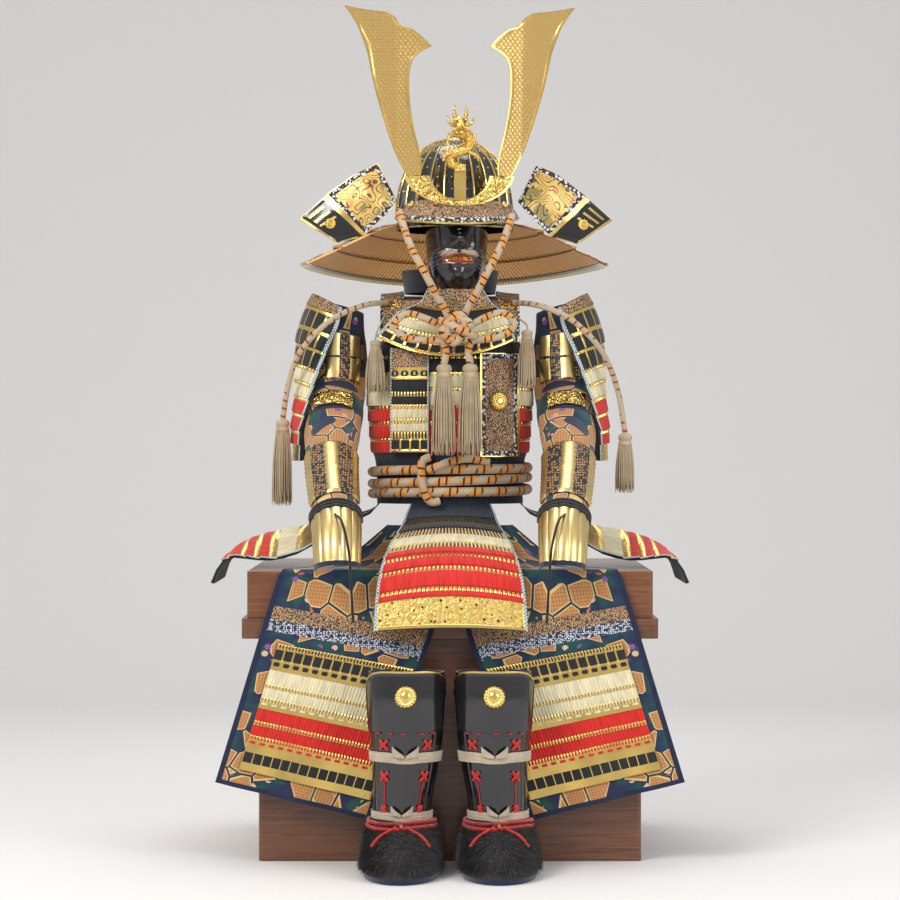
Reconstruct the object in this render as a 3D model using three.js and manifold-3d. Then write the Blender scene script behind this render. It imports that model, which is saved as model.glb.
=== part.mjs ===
// Samurai armour for a child, seated on its wooden armour chest.
// Millimetres, +Z up, the front of the armour faces -Y. The origin is on the floor,
// under the middle of the chest. "left" is the side at -X, "right" the side at +X.
import * as THREE from 'three';
import Module from 'manifold-3d';

const wasm = await Module();
wasm.setup();

const SEAM = 0.3;

// Wooden armour chest.
const CHEST = { halfWidth: 286.5, halfDepth: 230, board: 12 };
const LEDGE = { halfWidth: 310.5, halfDepth: 254, bottom: 334, top: 364 };
const LID = { halfWidth: 303, halfDepth: 246, top: 434, board: 10 };
const CORNER_RADIUS = 6;

// Body form: superellipse rings round the chest of the wearer.
const BODY_Y = 5;
const BODY_POWER = 2.35;
const BODY_RINGS = [
  { z: 520, halfWidth: 112, halfDepth: 84 },
  { z: 598, halfWidth: 113, halfDepth: 85 },
  { z: 612, halfWidth: 123, halfDepth: 92 },
  { z: 700, halfWidth: 130, halfDepth: 97 },
  { z: 760, halfWidth: 129, halfDepth: 96 },
  { z: 800, halfWidth: 122, halfDepth: 91 },
  { z: 830, halfWidth: 110, halfDepth: 83 },
  { z: 850, halfWidth: 98, halfDepth: 76 },
];

// Helmet, mask and crest share one head frame, turned a little to the right.
const HEAD = { x: 7, y: -25, turn: THREE.MathUtils.degToRad(4) };

const gold = () => new THREE.MeshStandardMaterial({ color: 0xdcb14a, roughness: 0.3, metalness: 1 });
const lacquer = () => new THREE.MeshStandardMaterial({ color: 0x121212, roughness: 0.15, metalness: 0 });
const redLace = () => new THREE.MeshStandardMaterial({ color: 0xc4140c, roughness: 0.8, metalness: 0 });
const tanLeather = () => new THREE.MeshStandardMaterial({ color: 0xc39a5c, roughness: 0.6, metalness: 0 });
const brocade = () => new THREE.MeshStandardMaterial({ color: 0x12404e, roughness: 0.7, metalness: 0 });
const navyCloth = () => new THREE.MeshStandardMaterial({ color: 0x10182c, roughness: 0.9, metalness: 0 });
const beigeCord = () => new THREE.MeshStandardMaterial({ color: 0xc2ae87, roughness: 0.9, metalness: 0 });
const orangeCord = () => new THREE.MeshStandardMaterial({ color: 0xd98332, roughness: 0.8, metalness: 0 });
const blackCord = () => new THREE.MeshStandardMaterial({ color: 0x0c0c0c, roughness: 0.8, metalness: 0 });
const blackFur = () => new THREE.MeshStandardMaterial({ color: 0x0a0a0a, roughness: 1, metalness: 0 });
const walnut = () => new THREE.MeshStandardMaterial({ color: 0x7d4526, roughness: 0.4, metalness: 0 });
const plainWood = () => new THREE.MeshStandardMaterial({ color: 0x9b7a52, roughness: 0.7, metalness: 0 });

const armour = new THREE.Group();

function add(name, geometry, material) {
  const mesh = new THREE.Mesh(geometry, material);
  mesh.name = name;
  armour.add(mesh);
}

const vec = (x, y, z) => new THREE.Vector3(x, y, z);

// Welds corners, drops empty triangles and turns every face outward.
function closedGeometry(triangles) {
  const keys = new Map();
  const positions = [];
  const index = [];
  const corner = (p) => {
    const key = `${Math.round(p.x * 500)},${Math.round(p.y * 500)},${Math.round(p.z * 500)}`;
    if (!keys.has(key)) {
      keys.set(key, positions.length / 3);
      positions.push(p.x, p.y, p.z);
    }
    return keys.get(key);
  };
  let volume = 0;
  for (const [a, b, c] of triangles) {
    const [i, j, k] = [corner(a), corner(b), corner(c)];
    if (i === j || j === k || k === i) continue;
    index.push(i, j, k);
    volume += a.dot(vec().crossVectors(b, c));
  }
  if (volume < 0) index.reverse();
  const geometry = new THREE.BufferGeometry();
  geometry.setAttribute('position', new THREE.Float32BufferAttribute(positions, 3));
  geometry.setIndex(index);
  geometry.computeVertexNormals();
  return geometry;
}

function quad(triangles, a, b, c, d) {
  triangles.push([a, b, c], [a, c, d]);
}

// Fills the strip between two edges whose points need not match one to one.
function zip(triangles, first, second, flip) {
  let [i, j] = [0, 0];
  while (i < first.length - 1 || j < second.length - 1) {
    const stepFirst = j >= second.length - 1
      || (i < first.length - 1 && first[i + 1].t <= second[j + 1].t);
    const corners = stepFirst
      ? [first[i + 1].p, first[i].p, second[j].p]
      : [first[i].p, second[j].p, second[j + 1].p];
    triangles.push(flip ? corners.reverse() : corners);
    if (stepFirst) i += 1;
    else j += 1;
  }
}

// Joins an outer and an inner grid of points into one closed wall.
function closeGrids(outer, inner, closedAcross) {
  const triangles = [];
  for (const [grid, flip] of [[outer, false], [inner, true]]) {
    for (let r = 0; r < grid.points.length - 1; r += 1) {
      for (let c = 0; c < grid.us.length - 1; c += 1) {
        const [p, q] = [grid.points[r], grid.points[r + 1]];
        if (flip) quad(triangles, p[c], q[c], q[c + 1], p[c + 1]);
        else quad(triangles, p[c], p[c + 1], q[c + 1], q[c]);
      }
    }
  }
  const row = (grid, r) => grid.us.map((t, c) => ({ t, p: grid.points.at(r)[c] }));
  const column = (grid, c) => grid.vs.map((t, r) => ({ t, p: grid.points[r].at(c) }));
  zip(triangles, row(outer, 0), row(inner, 0), false);
  zip(triangles, row(outer, -1), row(inner, -1), true);
  if (!closedAcross) {
    zip(triangles, column(outer, 0), column(inner, 0), true);
    zip(triangles, column(outer, -1), column(inner, -1), false);
  }
  return closedGeometry(triangles);
}

const range = (count) => Array.from({ length: count }, (_, i) => i);
const spread = (from, to, count) => range(count).map((i) => from + ((to - from) * i) / (count - 1));
const level = (value) => ({ v: value, lift: 0 });
const clamp01 = (t) => Math.min(1, Math.max(0, t));

// Rows of overlapping lames: each lame stands out at its lower edge by "lift".
function lames(from, to, count, lift, step = 0.12) {
  const height = (to - from) / count;
  return range(count).flatMap((i) => [
    { v: from + height * i, lift: 0 },
    { v: from + height * (i + 1 - step), lift },
  ]).concat([{ v: to, lift }]);
}

// Wall whose inner face lies on a surface and whose outer face is moved out along the normal.
// The inner face may have fewer rows and columns than the outer one.
function wall(surface, options) {
  const { rows, columns, innerRows, innerColumns, thickness } = options;
  const { out = 1, from = 0, closed = false, relief } = options;
  const eps = 1e-3;
  const grid = (list, us, outside) => {
    const points = list.map(({ v, lift }) => us.map((u) => {
      const [v0, v1] = [Math.max(0, v - eps), Math.min(1, v + eps)];
      const [u0, u1] = closed ? [u - eps, u + eps] : [Math.max(0, u - eps), Math.min(1, u + eps)];
      const along = surface(u1, v).sub(surface(u0, v));
      const down = surface(u, v1).sub(surface(u, v0));
      const normal = along.cross(down).normalize().multiplyScalar(out);
      const raised = outside ? thickness + lift + (relief ? relief(u, v) : 0) : 0;
      return surface(u, v).addScaledVector(normal, from + raised);
    }));
    if (closed) points.forEach((line) => { line[line.length - 1] = line[0]; });
    return { points, us, vs: list.map(({ v }) => v) };
  };
  const across = closed ? spread(0, 1, columns + 1) : columns;
  const last = rows.length - 1;
  const isPlain = (row, i) => i === 0 || i === last || !row.lift;
  const plainRows = innerRows ? innerRows.map(level) : rows.filter(isPlain);
  return closeGrids(grid(rows, across, true), grid(plainRows, innerColumns || across, false), closed);
}

// A panel's own flat facets as a surface, for pieces that lie on that panel.
function facets(surface, vs, us) {
  const find = (list, t) => {
    const above = list.findIndex((value) => value > t);
    return above < 0 ? list.length - 2 : Math.max(0, above - 1);
  };
  return (u, v) => {
    const [i, j] = [find(us, u), find(vs, v)];
    const s = (u - us[i]) / (us[i + 1] - us[i]);
    const t = (v - vs[j]) / (vs[j + 1] - vs[j]);
    const upper = surface(us[i], vs[j]).lerp(surface(us[i + 1], vs[j]), s);
    return upper.lerp(surface(us[i], vs[j + 1]).lerp(surface(us[i + 1], vs[j + 1]), s), t);
  };
}

// Closed solid through rings of points, with flat ends.
function rings(list) {
  const triangles = [];
  const sides = list[0].length;
  for (let r = 0; r < list.length - 1; r += 1) {
    for (let c = 0; c < sides; c += 1) {
      const n = (c + 1) % sides;
      quad(triangles, list[r][c], list[r][n], list[r + 1][n], list[r + 1][c]);
    }
  }
  for (const [ring, flip] of [[list[0], true], [list[list.length - 1], false]]) {
    const middle = ring.reduce((sum, p) => sum.add(p), vec(0, 0, 0)).divideScalar(sides);
    for (let c = 0; c < sides; c += 1) {
      const n = (c + 1) % sides;
      triangles.push(flip ? [ring[n], ring[c], middle] : [ring[c], ring[n], middle]);
    }
  }
  return closedGeometry(triangles);
}

function tube(points, radius, steps, sides = 8) {
  const section = new THREE.Shape(range(sides).map((i) => {
    const a = (2 * Math.PI * i) / sides;
    return new THREE.Vector2(radius * Math.cos(a), radius * Math.sin(a));
  }));
  const path = new THREE.CatmullRomCurve3(points, false, 'centripetal');
  return new THREE.ExtrudeGeometry(section, { steps, bevelEnabled: false, extrudePath: path });
}

// Value of a table column at a key, by straight lines between its rows.
function lookup(table, key, at, column) {
  const rising = table[table.length - 1][key] > table[0][key];
  const rows = rising ? table : [...table].reverse();
  if (at <= rows[0][key]) return rows[0][column];
  for (let i = 1; i < rows.length; i += 1) {
    if (at <= rows[i][key]) {
      const t = (at - rows[i - 1][key]) / (rows[i][key] - rows[i - 1][key]);
      return rows[i - 1][column] + t * (rows[i][column] - rows[i - 1][column]);
    }
  }
  return rows[rows.length - 1][column];
}

function toManifold(geometry) {
  const plain = closedGeometry(trianglesOf(geometry));
  return new wasm.Manifold(new wasm.Mesh({
    numProp: 3,
    vertProperties: new Float32Array(plain.getAttribute('position').array),
    triVerts: new Uint32Array(plain.getIndex().array),
  }));
}

function trianglesOf(geometry) {
  const flat = geometry.index ? geometry.toNonIndexed() : geometry;
  const p = flat.getAttribute('position');
  return range(p.count / 3).map((t) => range(3).map((i) => vec().fromBufferAttribute(p, 3 * t + i)));
}

function fromManifold(solid) {
  const mesh = solid.getMesh();
  const geometry = new THREE.BufferGeometry();
  geometry.setAttribute('position', new THREE.BufferAttribute(new Float32Array(mesh.vertProperties), 3));
  geometry.setIndex(new THREE.BufferAttribute(new Uint32Array(mesh.triVerts), 1));
  geometry.computeVertexNormals();
  return geometry;
}

function join(list) {
  return fromManifold(list.map(toManifold).reduce((sum, part) => sum.add(part)));
}

function cut(geometry, tools) {
  const rest = tools.map(toManifold).reduce((solid, tool) => solid.subtract(tool), toManifold(geometry));
  return fromManifold(rest);
}

const boxBetween = (x0, x1, y0, y1, z0, z1) => new THREE.BoxGeometry(x1 - x0, y1 - y0, z1 - z0)
  .translate((x0 + x1) / 2, (y0 + y1) / 2, (z0 + z1) / 2);

// Upright block with rounded vertical corners.
function roundedBlock(halfWidth, halfDepth, z0, z1, radius) {
  const s = new THREE.Shape();
  const [w, d] = [halfWidth - radius, halfDepth - radius];
  for (const [x, y, start] of [[w, d, 0], [-w, d, 0.5], [-w, -d, 1], [w, -d, 1.5]]) {
    for (const i of range(4)) {
      const a = Math.PI * (start + i / 6);
      const point = [x + radius * Math.cos(a), y + radius * Math.sin(a)];
      if (s.curves.length === 0 && s.currentPoint.length() === 0) s.moveTo(...point);
      else s.lineTo(...point);
    }
  }
  return new THREE.ExtrudeGeometry(s, { depth: z1 - z0, bevelEnabled: false }).translate(0, 0, z0);
}

// Armour chest: open box with a ledge, and the lid that the armour sits on.
function chestBox() {
  const shell = join([
    roundedBlock(CHEST.halfWidth, CHEST.halfDepth, 0, LEDGE.bottom + 1, CORNER_RADIUS),
    roundedBlock(LEDGE.halfWidth, LEDGE.halfDepth, LEDGE.bottom, LEDGE.top, CORNER_RADIUS),
  ]);
  const w = CHEST.halfWidth - CHEST.board;
  const d = CHEST.halfDepth - CHEST.board;
  return cut(shell, [boxBetween(-w, w, -d, d, CHEST.board, LEDGE.top + 1)]);
}

function chestLid() {
  const bottom = LEDGE.top + SEAM;
  const block = roundedBlock(LID.halfWidth, LID.halfDepth, bottom, LID.top, CORNER_RADIUS);
  const w = LID.halfWidth - LID.board;
  const d = LID.halfDepth - LID.board;
  return cut(block, [boxBetween(-w, w, -d, d, bottom - 1, LID.top - LID.board)]);
}

add('chest_box', chestBox(), walnut());
add('chest_lid', chestLid(), walnut());

// Wooden stand inside the armour: base block, post, shoulder bar and head block.
const STRAP = { y: BODY_Y, z: 786, halfY: 74, halfZ: 74, from: 72, to: 108, slope: 0.12, thickness: 4 };
const STAND = {
  baseHalf: 80, baseTop: 488, post: 14, barHalf: 96, barHeight: 26, barDepth: 7,
  headBottom: 1000, headWaist: 1040, head: 34, crown: 14, top: 1093.6,
};

function stand() {
  const base = LID.top + SEAM;
  const barTop = STRAP.z + STRAP.halfZ - STRAP.slope * (STAND.barHalf - STRAP.from) - 1;
  const { head, crown, top, headBottom, headWaist } = STAND;
  const headForm = [[0, headBottom], [head, headBottom], [head, headWaist], [crown, top], [0, top]];
  const postBottom = STAND.baseTop - 28;
  const postTop = headBottom + 20;
  const post = new THREE.CylinderGeometry(STAND.post, STAND.post, postTop - postBottom, 12);
  const [barY, barZ] = [BODY_Y, barTop - STAND.barHeight];
  return join([
    roundedBlock(STAND.baseHalf, STAND.baseHalf, base, STAND.baseTop, 10),
    post.rotateX(Math.PI / 2).translate(0, BODY_Y, (postBottom + postTop) / 2),
    boxBetween(-STAND.barHalf, STAND.barHalf, barY - STAND.barDepth, barY + STAND.barDepth, barZ, barTop),
    new THREE.LatheGeometry(headForm.map(([r, z]) => new THREE.Vector2(r, z)), 14)
      .rotateX(Math.PI / 2).scale(1, -1, 1).translate(HEAD.x, HEAD.y, 0),
  ]);
}

add('stand', stand(), plainWood());

// Body: cuirass, plates on the chest, neck plate, collar and waist rope.
function bodyPoint(angle, z, outBy) {
  const w = lookup(BODY_RINGS, 'z', z, 'halfWidth') + outBy;
  const d = lookup(BODY_RINGS, 'z', z, 'halfDepth') + outBy;
  const s = Math.sin(angle);
  const c = Math.cos(angle);
  const k = (Math.abs(s) ** BODY_POWER + Math.abs(c) ** BODY_POWER) ** (-1 / BODY_POWER);
  return vec(w * k * s, BODY_Y - d * k * c, z);
}

// The body point in front of a given x, for pieces that lie on the chest.
function bodyFront(x, z, outBy) {
  const w = lookup(BODY_RINGS, 'z', z, 'halfWidth') + outBy;
  const d = lookup(BODY_RINGS, 'z', z, 'halfDepth') + outBy;
  const t = Math.min(0.999, Math.abs(x) / w);
  return vec(x, BODY_Y - d * (1 - t ** BODY_POWER) ** (1 / BODY_POWER), z);
}

const CUIRASS = { bottom: 531, top: 846, thickness: 3, lift: 2.2, columns: 24 };
const ARMHOLE = { x: 66, z: 806, radius: 62 };

function cuirass() {
  const height = CUIRASS.top - CUIRASS.bottom;
  const at = (z) => (CUIRASS.top - z) / height;
  const surface = (u, v) => bodyPoint(2 * Math.PI * u, CUIRASS.top - height * v, -CUIRASS.thickness);
  const rows = [level(0), level(at(830)), level(at(800)), level(at(760)), level(at(722))]
    .concat(lames(at(706), at(612), 4, CUIRASS.lift))
    .concat([level(at(599)), level(1)]);
  const shell = wall(surface, {
    rows, columns: CUIRASS.columns, closed: true, thickness: CUIRASS.thickness, out: -1,
    innerRows: [0, at(830), at(800), at(740), at(612), at(599), 1],
  });
  const armholes = [-1, 1].map((side) => new THREE.CylinderGeometry(ARMHOLE.radius, ARMHOLE.radius, 100, 16)
    .rotateZ(Math.PI / 2).translate(side * (ARMHOLE.x + 50), BODY_Y, ARMHOLE.z));
  const open = cut(shell, armholes);
  return join([open, strap(-1), strap(1)]);
}

// Leather shoulder strap that arches over the shoulder from the front plate to the back plate.
function strap(side) {
  const surface = (u, v) => {
    const a = Math.PI * (0.04 + 0.92 * v);
    const x = STRAP.from + (STRAP.to - STRAP.from) * u;
    const drop = STRAP.slope * (x - STRAP.from);
    return vec(side * x, STRAP.y - STRAP.halfY * Math.cos(a), STRAP.z + STRAP.halfZ * Math.sin(a) - drop);
  };
  return wall(surface, {
    rows: spread(0, 1, 10).map(level), columns: [0, 1], thickness: STRAP.thickness, out: side,
  });
}

add('cuirass', cuirass(), redLace());

const CHEST_PLATES = [
  { name: 'chest_plate_laced', left: -91, right: -32, top: 772, bottom: 611, lames: 5 },
  { name: 'chest_plate_leather', left: 46, right: 106, top: 764, bottom: 604, lames: 1 },
];
const CHEST_PLATE_OUT = 3.2;

for (const plate of CHEST_PLATES) {
  const surface = (u, v) => {
    const z = plate.top + (plate.bottom - plate.top) * v;
    const x = plate.left + (plate.right - plate.left) * u;
    return bodyFront(x, Math.max(z, 640), CHEST_PLATE_OUT).setZ(z);
  };
  add(plate.name, wall(surface, {
    rows: plate.lames > 1 ? [level(0)].concat(lames(0.3, 1, plate.lames, 1.4)) : spread(0, 1, 6).map(level),
    innerRows: [0, 0.4, 0.8, 1],
    columns: spread(0, 1, 6),
    thickness: 2.6,
    out: -1,
    relief: (u, v) => (plate.lames > 1 ? 0 : -0.8 * Math.sin(Math.PI * u) * Math.sin(Math.PI * v)),
  }), plate.lames > 1 ? lacquer() : tanLeather());
}

// Neck plate: a curved bib of lames, wider below; it bends back from its middle by x squared.
const NECK_PLATE_ROWS = [
  { v: 0, z: 862, left: -34, right: 50, y: -106 },
  { v: 0.2, z: 836, left: -44, right: 62, y: -112 },
  { v: 0.4, z: 815, left: -80, right: 86, y: -108 },
  { v: 1, z: 758, left: -112, right: 100, y: -112 },
];

function neckPlate() {
  const surface = (u, v) => {
    const [z, left, right, y] = ['z', 'left', 'right', 'y'].map((c) => lookup(NECK_PLATE_ROWS, 'v', v, c));
    const x = left + (right - left) * u;
    const sag = 30 * v * (Math.abs(u - 0.52) * 2) ** 2;
    const bend = (x * x) / 330;
    return vec(x, y + bend, z + sag);
  };
  return wall(surface, {
    rows: [level(0), level(0.12)].concat(lames(0.2, 1, 4, 2)),
    innerRows: [0, 0.2, 0.4, 0.7, 1],
    columns: spread(0, 1, 9),
    thickness: 2.6,
    out: -1,
  });
}

add('neck_plate', neckPlate(), lacquer());

// Cloth collar: open in front over twice the start angle, a little wider at the top.
const COLLAR = { halfWidth: 68.3, halfDepth: 60, y: BODY_Y - 6, z: 860, height: 36, start: 28, flare: 0.08 };

function collar() {
  const surface = (u, v) => {
    const a = THREE.MathUtils.degToRad(COLLAR.start + (360 - 2 * COLLAR.start) * u);
    const flare = 1 + COLLAR.flare * v;
    const x = COLLAR.halfWidth * flare * Math.sin(a);
    return vec(x, COLLAR.y - COLLAR.halfDepth * flare * Math.cos(a), COLLAR.z + COLLAR.height * v);
  };
  return wall(surface, {
    rows: spread(0, 1, 3).map(level), innerRows: [0, 1], columns: spread(0, 1, 17), thickness: 3,
  });
}

add('collar', collar(), navyCloth());

// Waist rope: three turns round the waist of the cuirass and an upright loop at the knot.
const ROPE = { radius: 7.3, clear: 2.6, pitch: 17.2, lowest: 552, turns: 3, steps: 48, knotX: -38 };

function waistRope() {
  const start = -0.35;
  const points = range(ROPE.turns * 24 + 1).map((i) => {
    const t = i / 24;
    const z = ROPE.lowest + ROPE.pitch * (t - 0.5);
    return bodyPoint(2 * Math.PI * (t + start), z, ROPE.radius + ROPE.clear);
  });
  const knot = tube([
    bodyFront(ROPE.knotX, 598, ROPE.radius * 2 + 3),
    bodyFront(ROPE.knotX - 2, 575, ROPE.radius * 2 + 6.5),
    bodyFront(ROPE.knotX + 2, 545, ROPE.radius * 2 + 4),
    bodyFront(ROPE.knotX + 4, 530, ROPE.radius * 2 + 1),
  ], 6, 10);
  return join([tube(points, ROPE.radius, ROPE.steps), knot]);
}

add('waist_rope', waistRope(), redLace());

// Skirt of lames: front and back panels hang over the edge, the side panels spread over the lid.
const FRONT_SKIRT = [
  { v: 0, y: -77.5, z: 530.4, half: 62 },
  { v: 0.04, y: -78.3, z: 521, half: 66 },
  { v: 0.14, y: -102, z: 508, half: 70 },
  { v: 0.30, y: -150, z: 494, half: 79 },
  { v: 0.48, y: -203, z: 476, half: 91 },
  { v: 0.64, y: -248, z: 454, half: 101 },
  { v: 0.76, y: -276, z: 425, half: 108 },
  { v: 0.88, y: -289, z: 390, half: 112 },
  { v: 1, y: -295, z: 352, half: 114 },
];
const BACK_SKIRT = [
  { v: 0, y: 87.5, z: 530.4, half: 62 },
  { v: 0.05, y: 88.3, z: 521, half: 66 },
  { v: 0.22, y: 118, z: 500, half: 76 },
  { v: 0.55, y: 168, z: 466, half: 92 },
  { v: 0.8, y: 210, z: 448, half: 102 },
  { v: 1, y: 244, z: 440, half: 108 },
];

function skirtPanel(table, facing) {
  const surface = (u, v) => {
    const half = lookup(table, 'v', v, 'half');
    const x = half * (2 * u - 1) + 1;
    const edge = 5 * clamp01(v * 4) * (2 * u - 1) ** 2;
    const hollow = 0.045 * half * clamp01(1 - v * 3) * (2 * u - 1) ** 2;
    return vec(x, lookup(table, 'v', v, 'y') - facing * hollow * 3, lookup(table, 'v', v, 'z') - edge);
  };
  return wall(surface, {
    rows: [level(0), level(0.04), level(0.14), level(0.24)].concat(lames(0.28, 1, 6, 2.4)),
    innerRows: [0, 0.04, 0.14, 0.28, 0.4, 0.52, 0.64, 0.76, 0.88, 1],
    columns: spread(0, 1, 7),
    innerColumns: spread(0, 1, 4),
    thickness: 2.6,
    out: facing,
  });
}

add('skirt_front', skirtPanel(FRONT_SKIRT, -1), redLace());
add('skirt_back', skirtPanel(BACK_SKIRT, 1), redLace());

const SIDE_SKIRT = [
  { v: 0, x: 110.4, z: 530.4, front: -34, back: 44, drop: 0 },
  { v: 0.03, x: 111, z: 521, front: -36, back: 46, drop: 0 },
  { v: 0.12, x: 140, z: 511, front: -50, back: 58, drop: 4 },
  { v: 0.26, x: 180, z: 508, front: -75, back: 74, drop: 20 },
  { v: 0.40, x: 227, z: 503, front: -105, back: 85, drop: 46 },
  { v: 0.54, x: 266, z: 497, front: -124, back: 92, drop: 52 },
  { v: 0.67, x: 300, z: 486, front: -134, back: 96, drop: 40 },
  { v: 0.78, x: 328, z: 469, front: -138, back: 98, drop: 18 },
  { v: 0.89, x: 350, z: 446, front: -138, back: 98, drop: 5 },
  { v: 1, x: 361, z: 410, front: -134, back: 94, drop: 0 },
];

function sideSkirt(side) {
  const surface = (u, v) => {
    const at = (c) => lookup(SIDE_SKIRT, 'v', v, c);
    const y = at('front') + (at('back') - at('front')) * u;
    const fall = at('drop') * ((1 - u) ** 2 + 0.35 * u * u);
    return vec(side * at('x'), y, at('z') - fall);
  };
  return wall(surface, {
    rows: [level(0), level(0.03), level(0.12)].concat(lames(0.2, 1, 6, 2.4)),
    innerRows: [0, 0.03, 0.12, 0.26, 0.4, 0.54, 0.67, 0.78, 0.89, 1],
    columns: spread(0, 1, 7),
    innerColumns: spread(0, 1, 5),
    thickness: 2.6,
    out: -side,
  });
}

add('skirt_left', sideSkirt(-1), redLace());
add('skirt_right', sideSkirt(1), redLace());

// Sleeves with upper-arm splints, forearm guards and hand guards.
const ARM = [
  { v: 0, x: 171, y: 5, z: 838, a: 37, b: 40 },
  { v: 0.1, x: 182, y: 2, z: 795, a: 51, b: 47 },
  { v: 0.24, x: 184.1, y: -4, z: 742, a: 55, b: 50 },
  { v: 0.36, x: 184, y: -24, z: 692, a: 50, b: 47 },
  { v: 0.48, x: 182, y: -62, z: 647, a: 44, b: 43 },
  { v: 0.6, x: 182, y: -105, z: 613, a: 40, b: 39 },
  { v: 0.72, x: 180, y: -150, z: 581, a: 38, b: 36 },
  { v: 0.87, x: 175, y: -202, z: 542, a: 36, b: 33 },
  { v: 1, x: 170, y: -246, z: 508, a: 34, b: 30 },
  { v: 1.08, x: 168, y: -268, z: 489, a: 33, b: 29 },
  { v: 1.16, x: 167, y: -286, z: 466, a: 32, b: 27 },
  { v: 1.24, x: 166, y: -296, z: 438, a: 30, b: 23 },
];
const ARM_LINE = new THREE.CatmullRomCurve3(ARM.map((r) => vec(r.x, r.y, r.z)), false, 'centripetal');

// Point on the arm; the angle runs from the outer side (0) over the top (quarter turn).
function armPoint(side, turn, v, outBy) {
  const index = ARM.findIndex((row) => row.v >= v);
  const next = Math.max(1, index);
  const share = (v - ARM[next - 1].v) / (ARM[next].v - ARM[next - 1].v);
  const t = (next - 1 + share) / (ARM.length - 1);
  const centre = ARM_LINE.getPoint(t);
  const along = ARM_LINE.getTangent(t);
  const across = vec(1, 0, 0).addScaledVector(along, -along.x).normalize();
  const upward = vec().crossVectors(along, across).normalize();
  const a = lookup(ARM, 'v', v, 'a') + outBy;
  const b = lookup(ARM, 'v', v, 'b') + outBy;
  centre.addScaledVector(across, a * Math.cos(turn)).addScaledVector(upward, b * Math.sin(turn));
  return vec(side * centre.x, centre.y, centre.z);
}

const SLEEVE_ROWS = [0, 0.1, 0.24, 0.36, 0.48, 0.6, 0.72, 0.87, 1];
const SLEEVE_COLUMNS = 16;
const FACET_GAP = 0.55;
const SPLINT_STRIPS = [[0.02, 0.16], [0.42, 0.58], [0.84, 0.98]];
const SPLINT_COLUMNS = [
  0, 0.02, 0.074, 0.16, 0.18, 0.358, 0.4, 0.42, 0.5, 0.58, 0.6, 0.642, 0.82, 0.84, 0.926, 0.98, 1,
];

for (const [name, side] of [['left', -1], ['right', 1]]) {
  const arm = (u, v) => armPoint(side, 2 * Math.PI * u, v, -2);
  add(`sleeve_${name}`, wall(arm, {
    rows: SLEEVE_ROWS.map(level),
    innerRows: SLEEVE_ROWS.filter((v, i) => i % 2 === 0),
    columns: SLEEVE_COLUMNS,
    closed: true,
    thickness: 2,
    out: side,
  }), brocade());

  // Three gold splints on a mail backing, over the top of the forearm.
  const outside = (u, v) => armPoint(side, 2 * Math.PI * u, v, 0);
  const skin = facets(outside, SLEEVE_ROWS, spread(0, 1, SLEEVE_COLUMNS + 1));
  const forearm = (u, v) => skin(0.03 + 0.44 * u, 0.66 + 0.27 * v);
  const onSplint = (u) => SPLINT_STRIPS.some(([p, q]) => u >= p && u <= q);
  add(`forearm_guard_${name}`, wall(forearm, {
    rows: [0, 0.222, 0.777, 1].map(level),
    columns: SPLINT_COLUMNS,
    innerColumns: [0, 0.074, 0.216, 0.358, 0.5, 0.642, 0.784, 0.926, 1],
    thickness: 1.4,
    from: FACET_GAP,
    out: side,
    relief: (u) => (onSplint(u) ? 2 : 0),
  }), gold());

  // Hand guard: ribbed shell over the back of the hand, open below.
  const hand = (u, v) => armPoint(side, Math.PI * (-0.03 + 1.06 * u), 0.968 + 0.27 * v, 1.2);
  add(`hand_guard_${name}`, wall(hand, {
    rows: [0, 0.04, 0.33, 0.66, 0.94, 1].map(level),
    innerRows: [0, 0.33, 0.66, 1],
    columns: spread(0, 1, 13),
    thickness: 1.6,
    out: side,
    relief: (u, v) => (v > 0.03 && v < 1 ? 1.3 * Math.abs(Math.cos(6 * Math.PI * u)) : 0.6),
  }), gold());
}

// Large shoulder guards: seven lames, curved round the upper arm.
const GUARD_ROWS = [
  { v: 0, z: 860, x: 152, y: -4, radius: 62, half: 76 },
  { v: 0.12, z: 828, x: 158, y: -4, radius: 70, half: 78 },
  { v: 0.24, z: 794, x: 160, y: -4, radius: 77.6, half: 70 },
  { v: 0.38, z: 755, x: 160, y: -6, radius: 80.4, half: 60 },
  { v: 0.6, z: 696, x: 148.6, y: -17, radius: 92, half: 41 },
  { v: 0.8, z: 647, x: 130, y: -22, radius: 116, half: 30 },
  { v: 1, z: 598, x: 122, y: -24, radius: 120, half: 28 },
];

const GUARD_DROOP = 26;

function shoulderGuard(side) {
  const surface = (u, v) => {
    const at = (c) => lookup(GUARD_ROWS, 'v', v, c);
    const a = THREE.MathUtils.degToRad(at('half')) * (2 * u - 1);
    const x = at('x') + at('radius') * Math.cos(a);
    const droop = GUARD_DROOP * (1 - v) * (2 * u - 1) ** 2;
    return vec(side * x, at('radius') * Math.sin(a) + at('y'), at('z') - droop);
  };
  return wall(surface, {
    rows: [level(0), level(0.07)].concat(lames(0.1, 1, 6, 2.4)),
    innerRows: GUARD_ROWS.map((row) => row.v),
    columns: spread(0, 1, 8),
    thickness: 2.6,
    out: -side,
  });
}

add('shoulder_guard_left', shoulderGuard(-1), redLace());
add('shoulder_guard_right', shoulderGuard(1), redLace());

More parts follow.
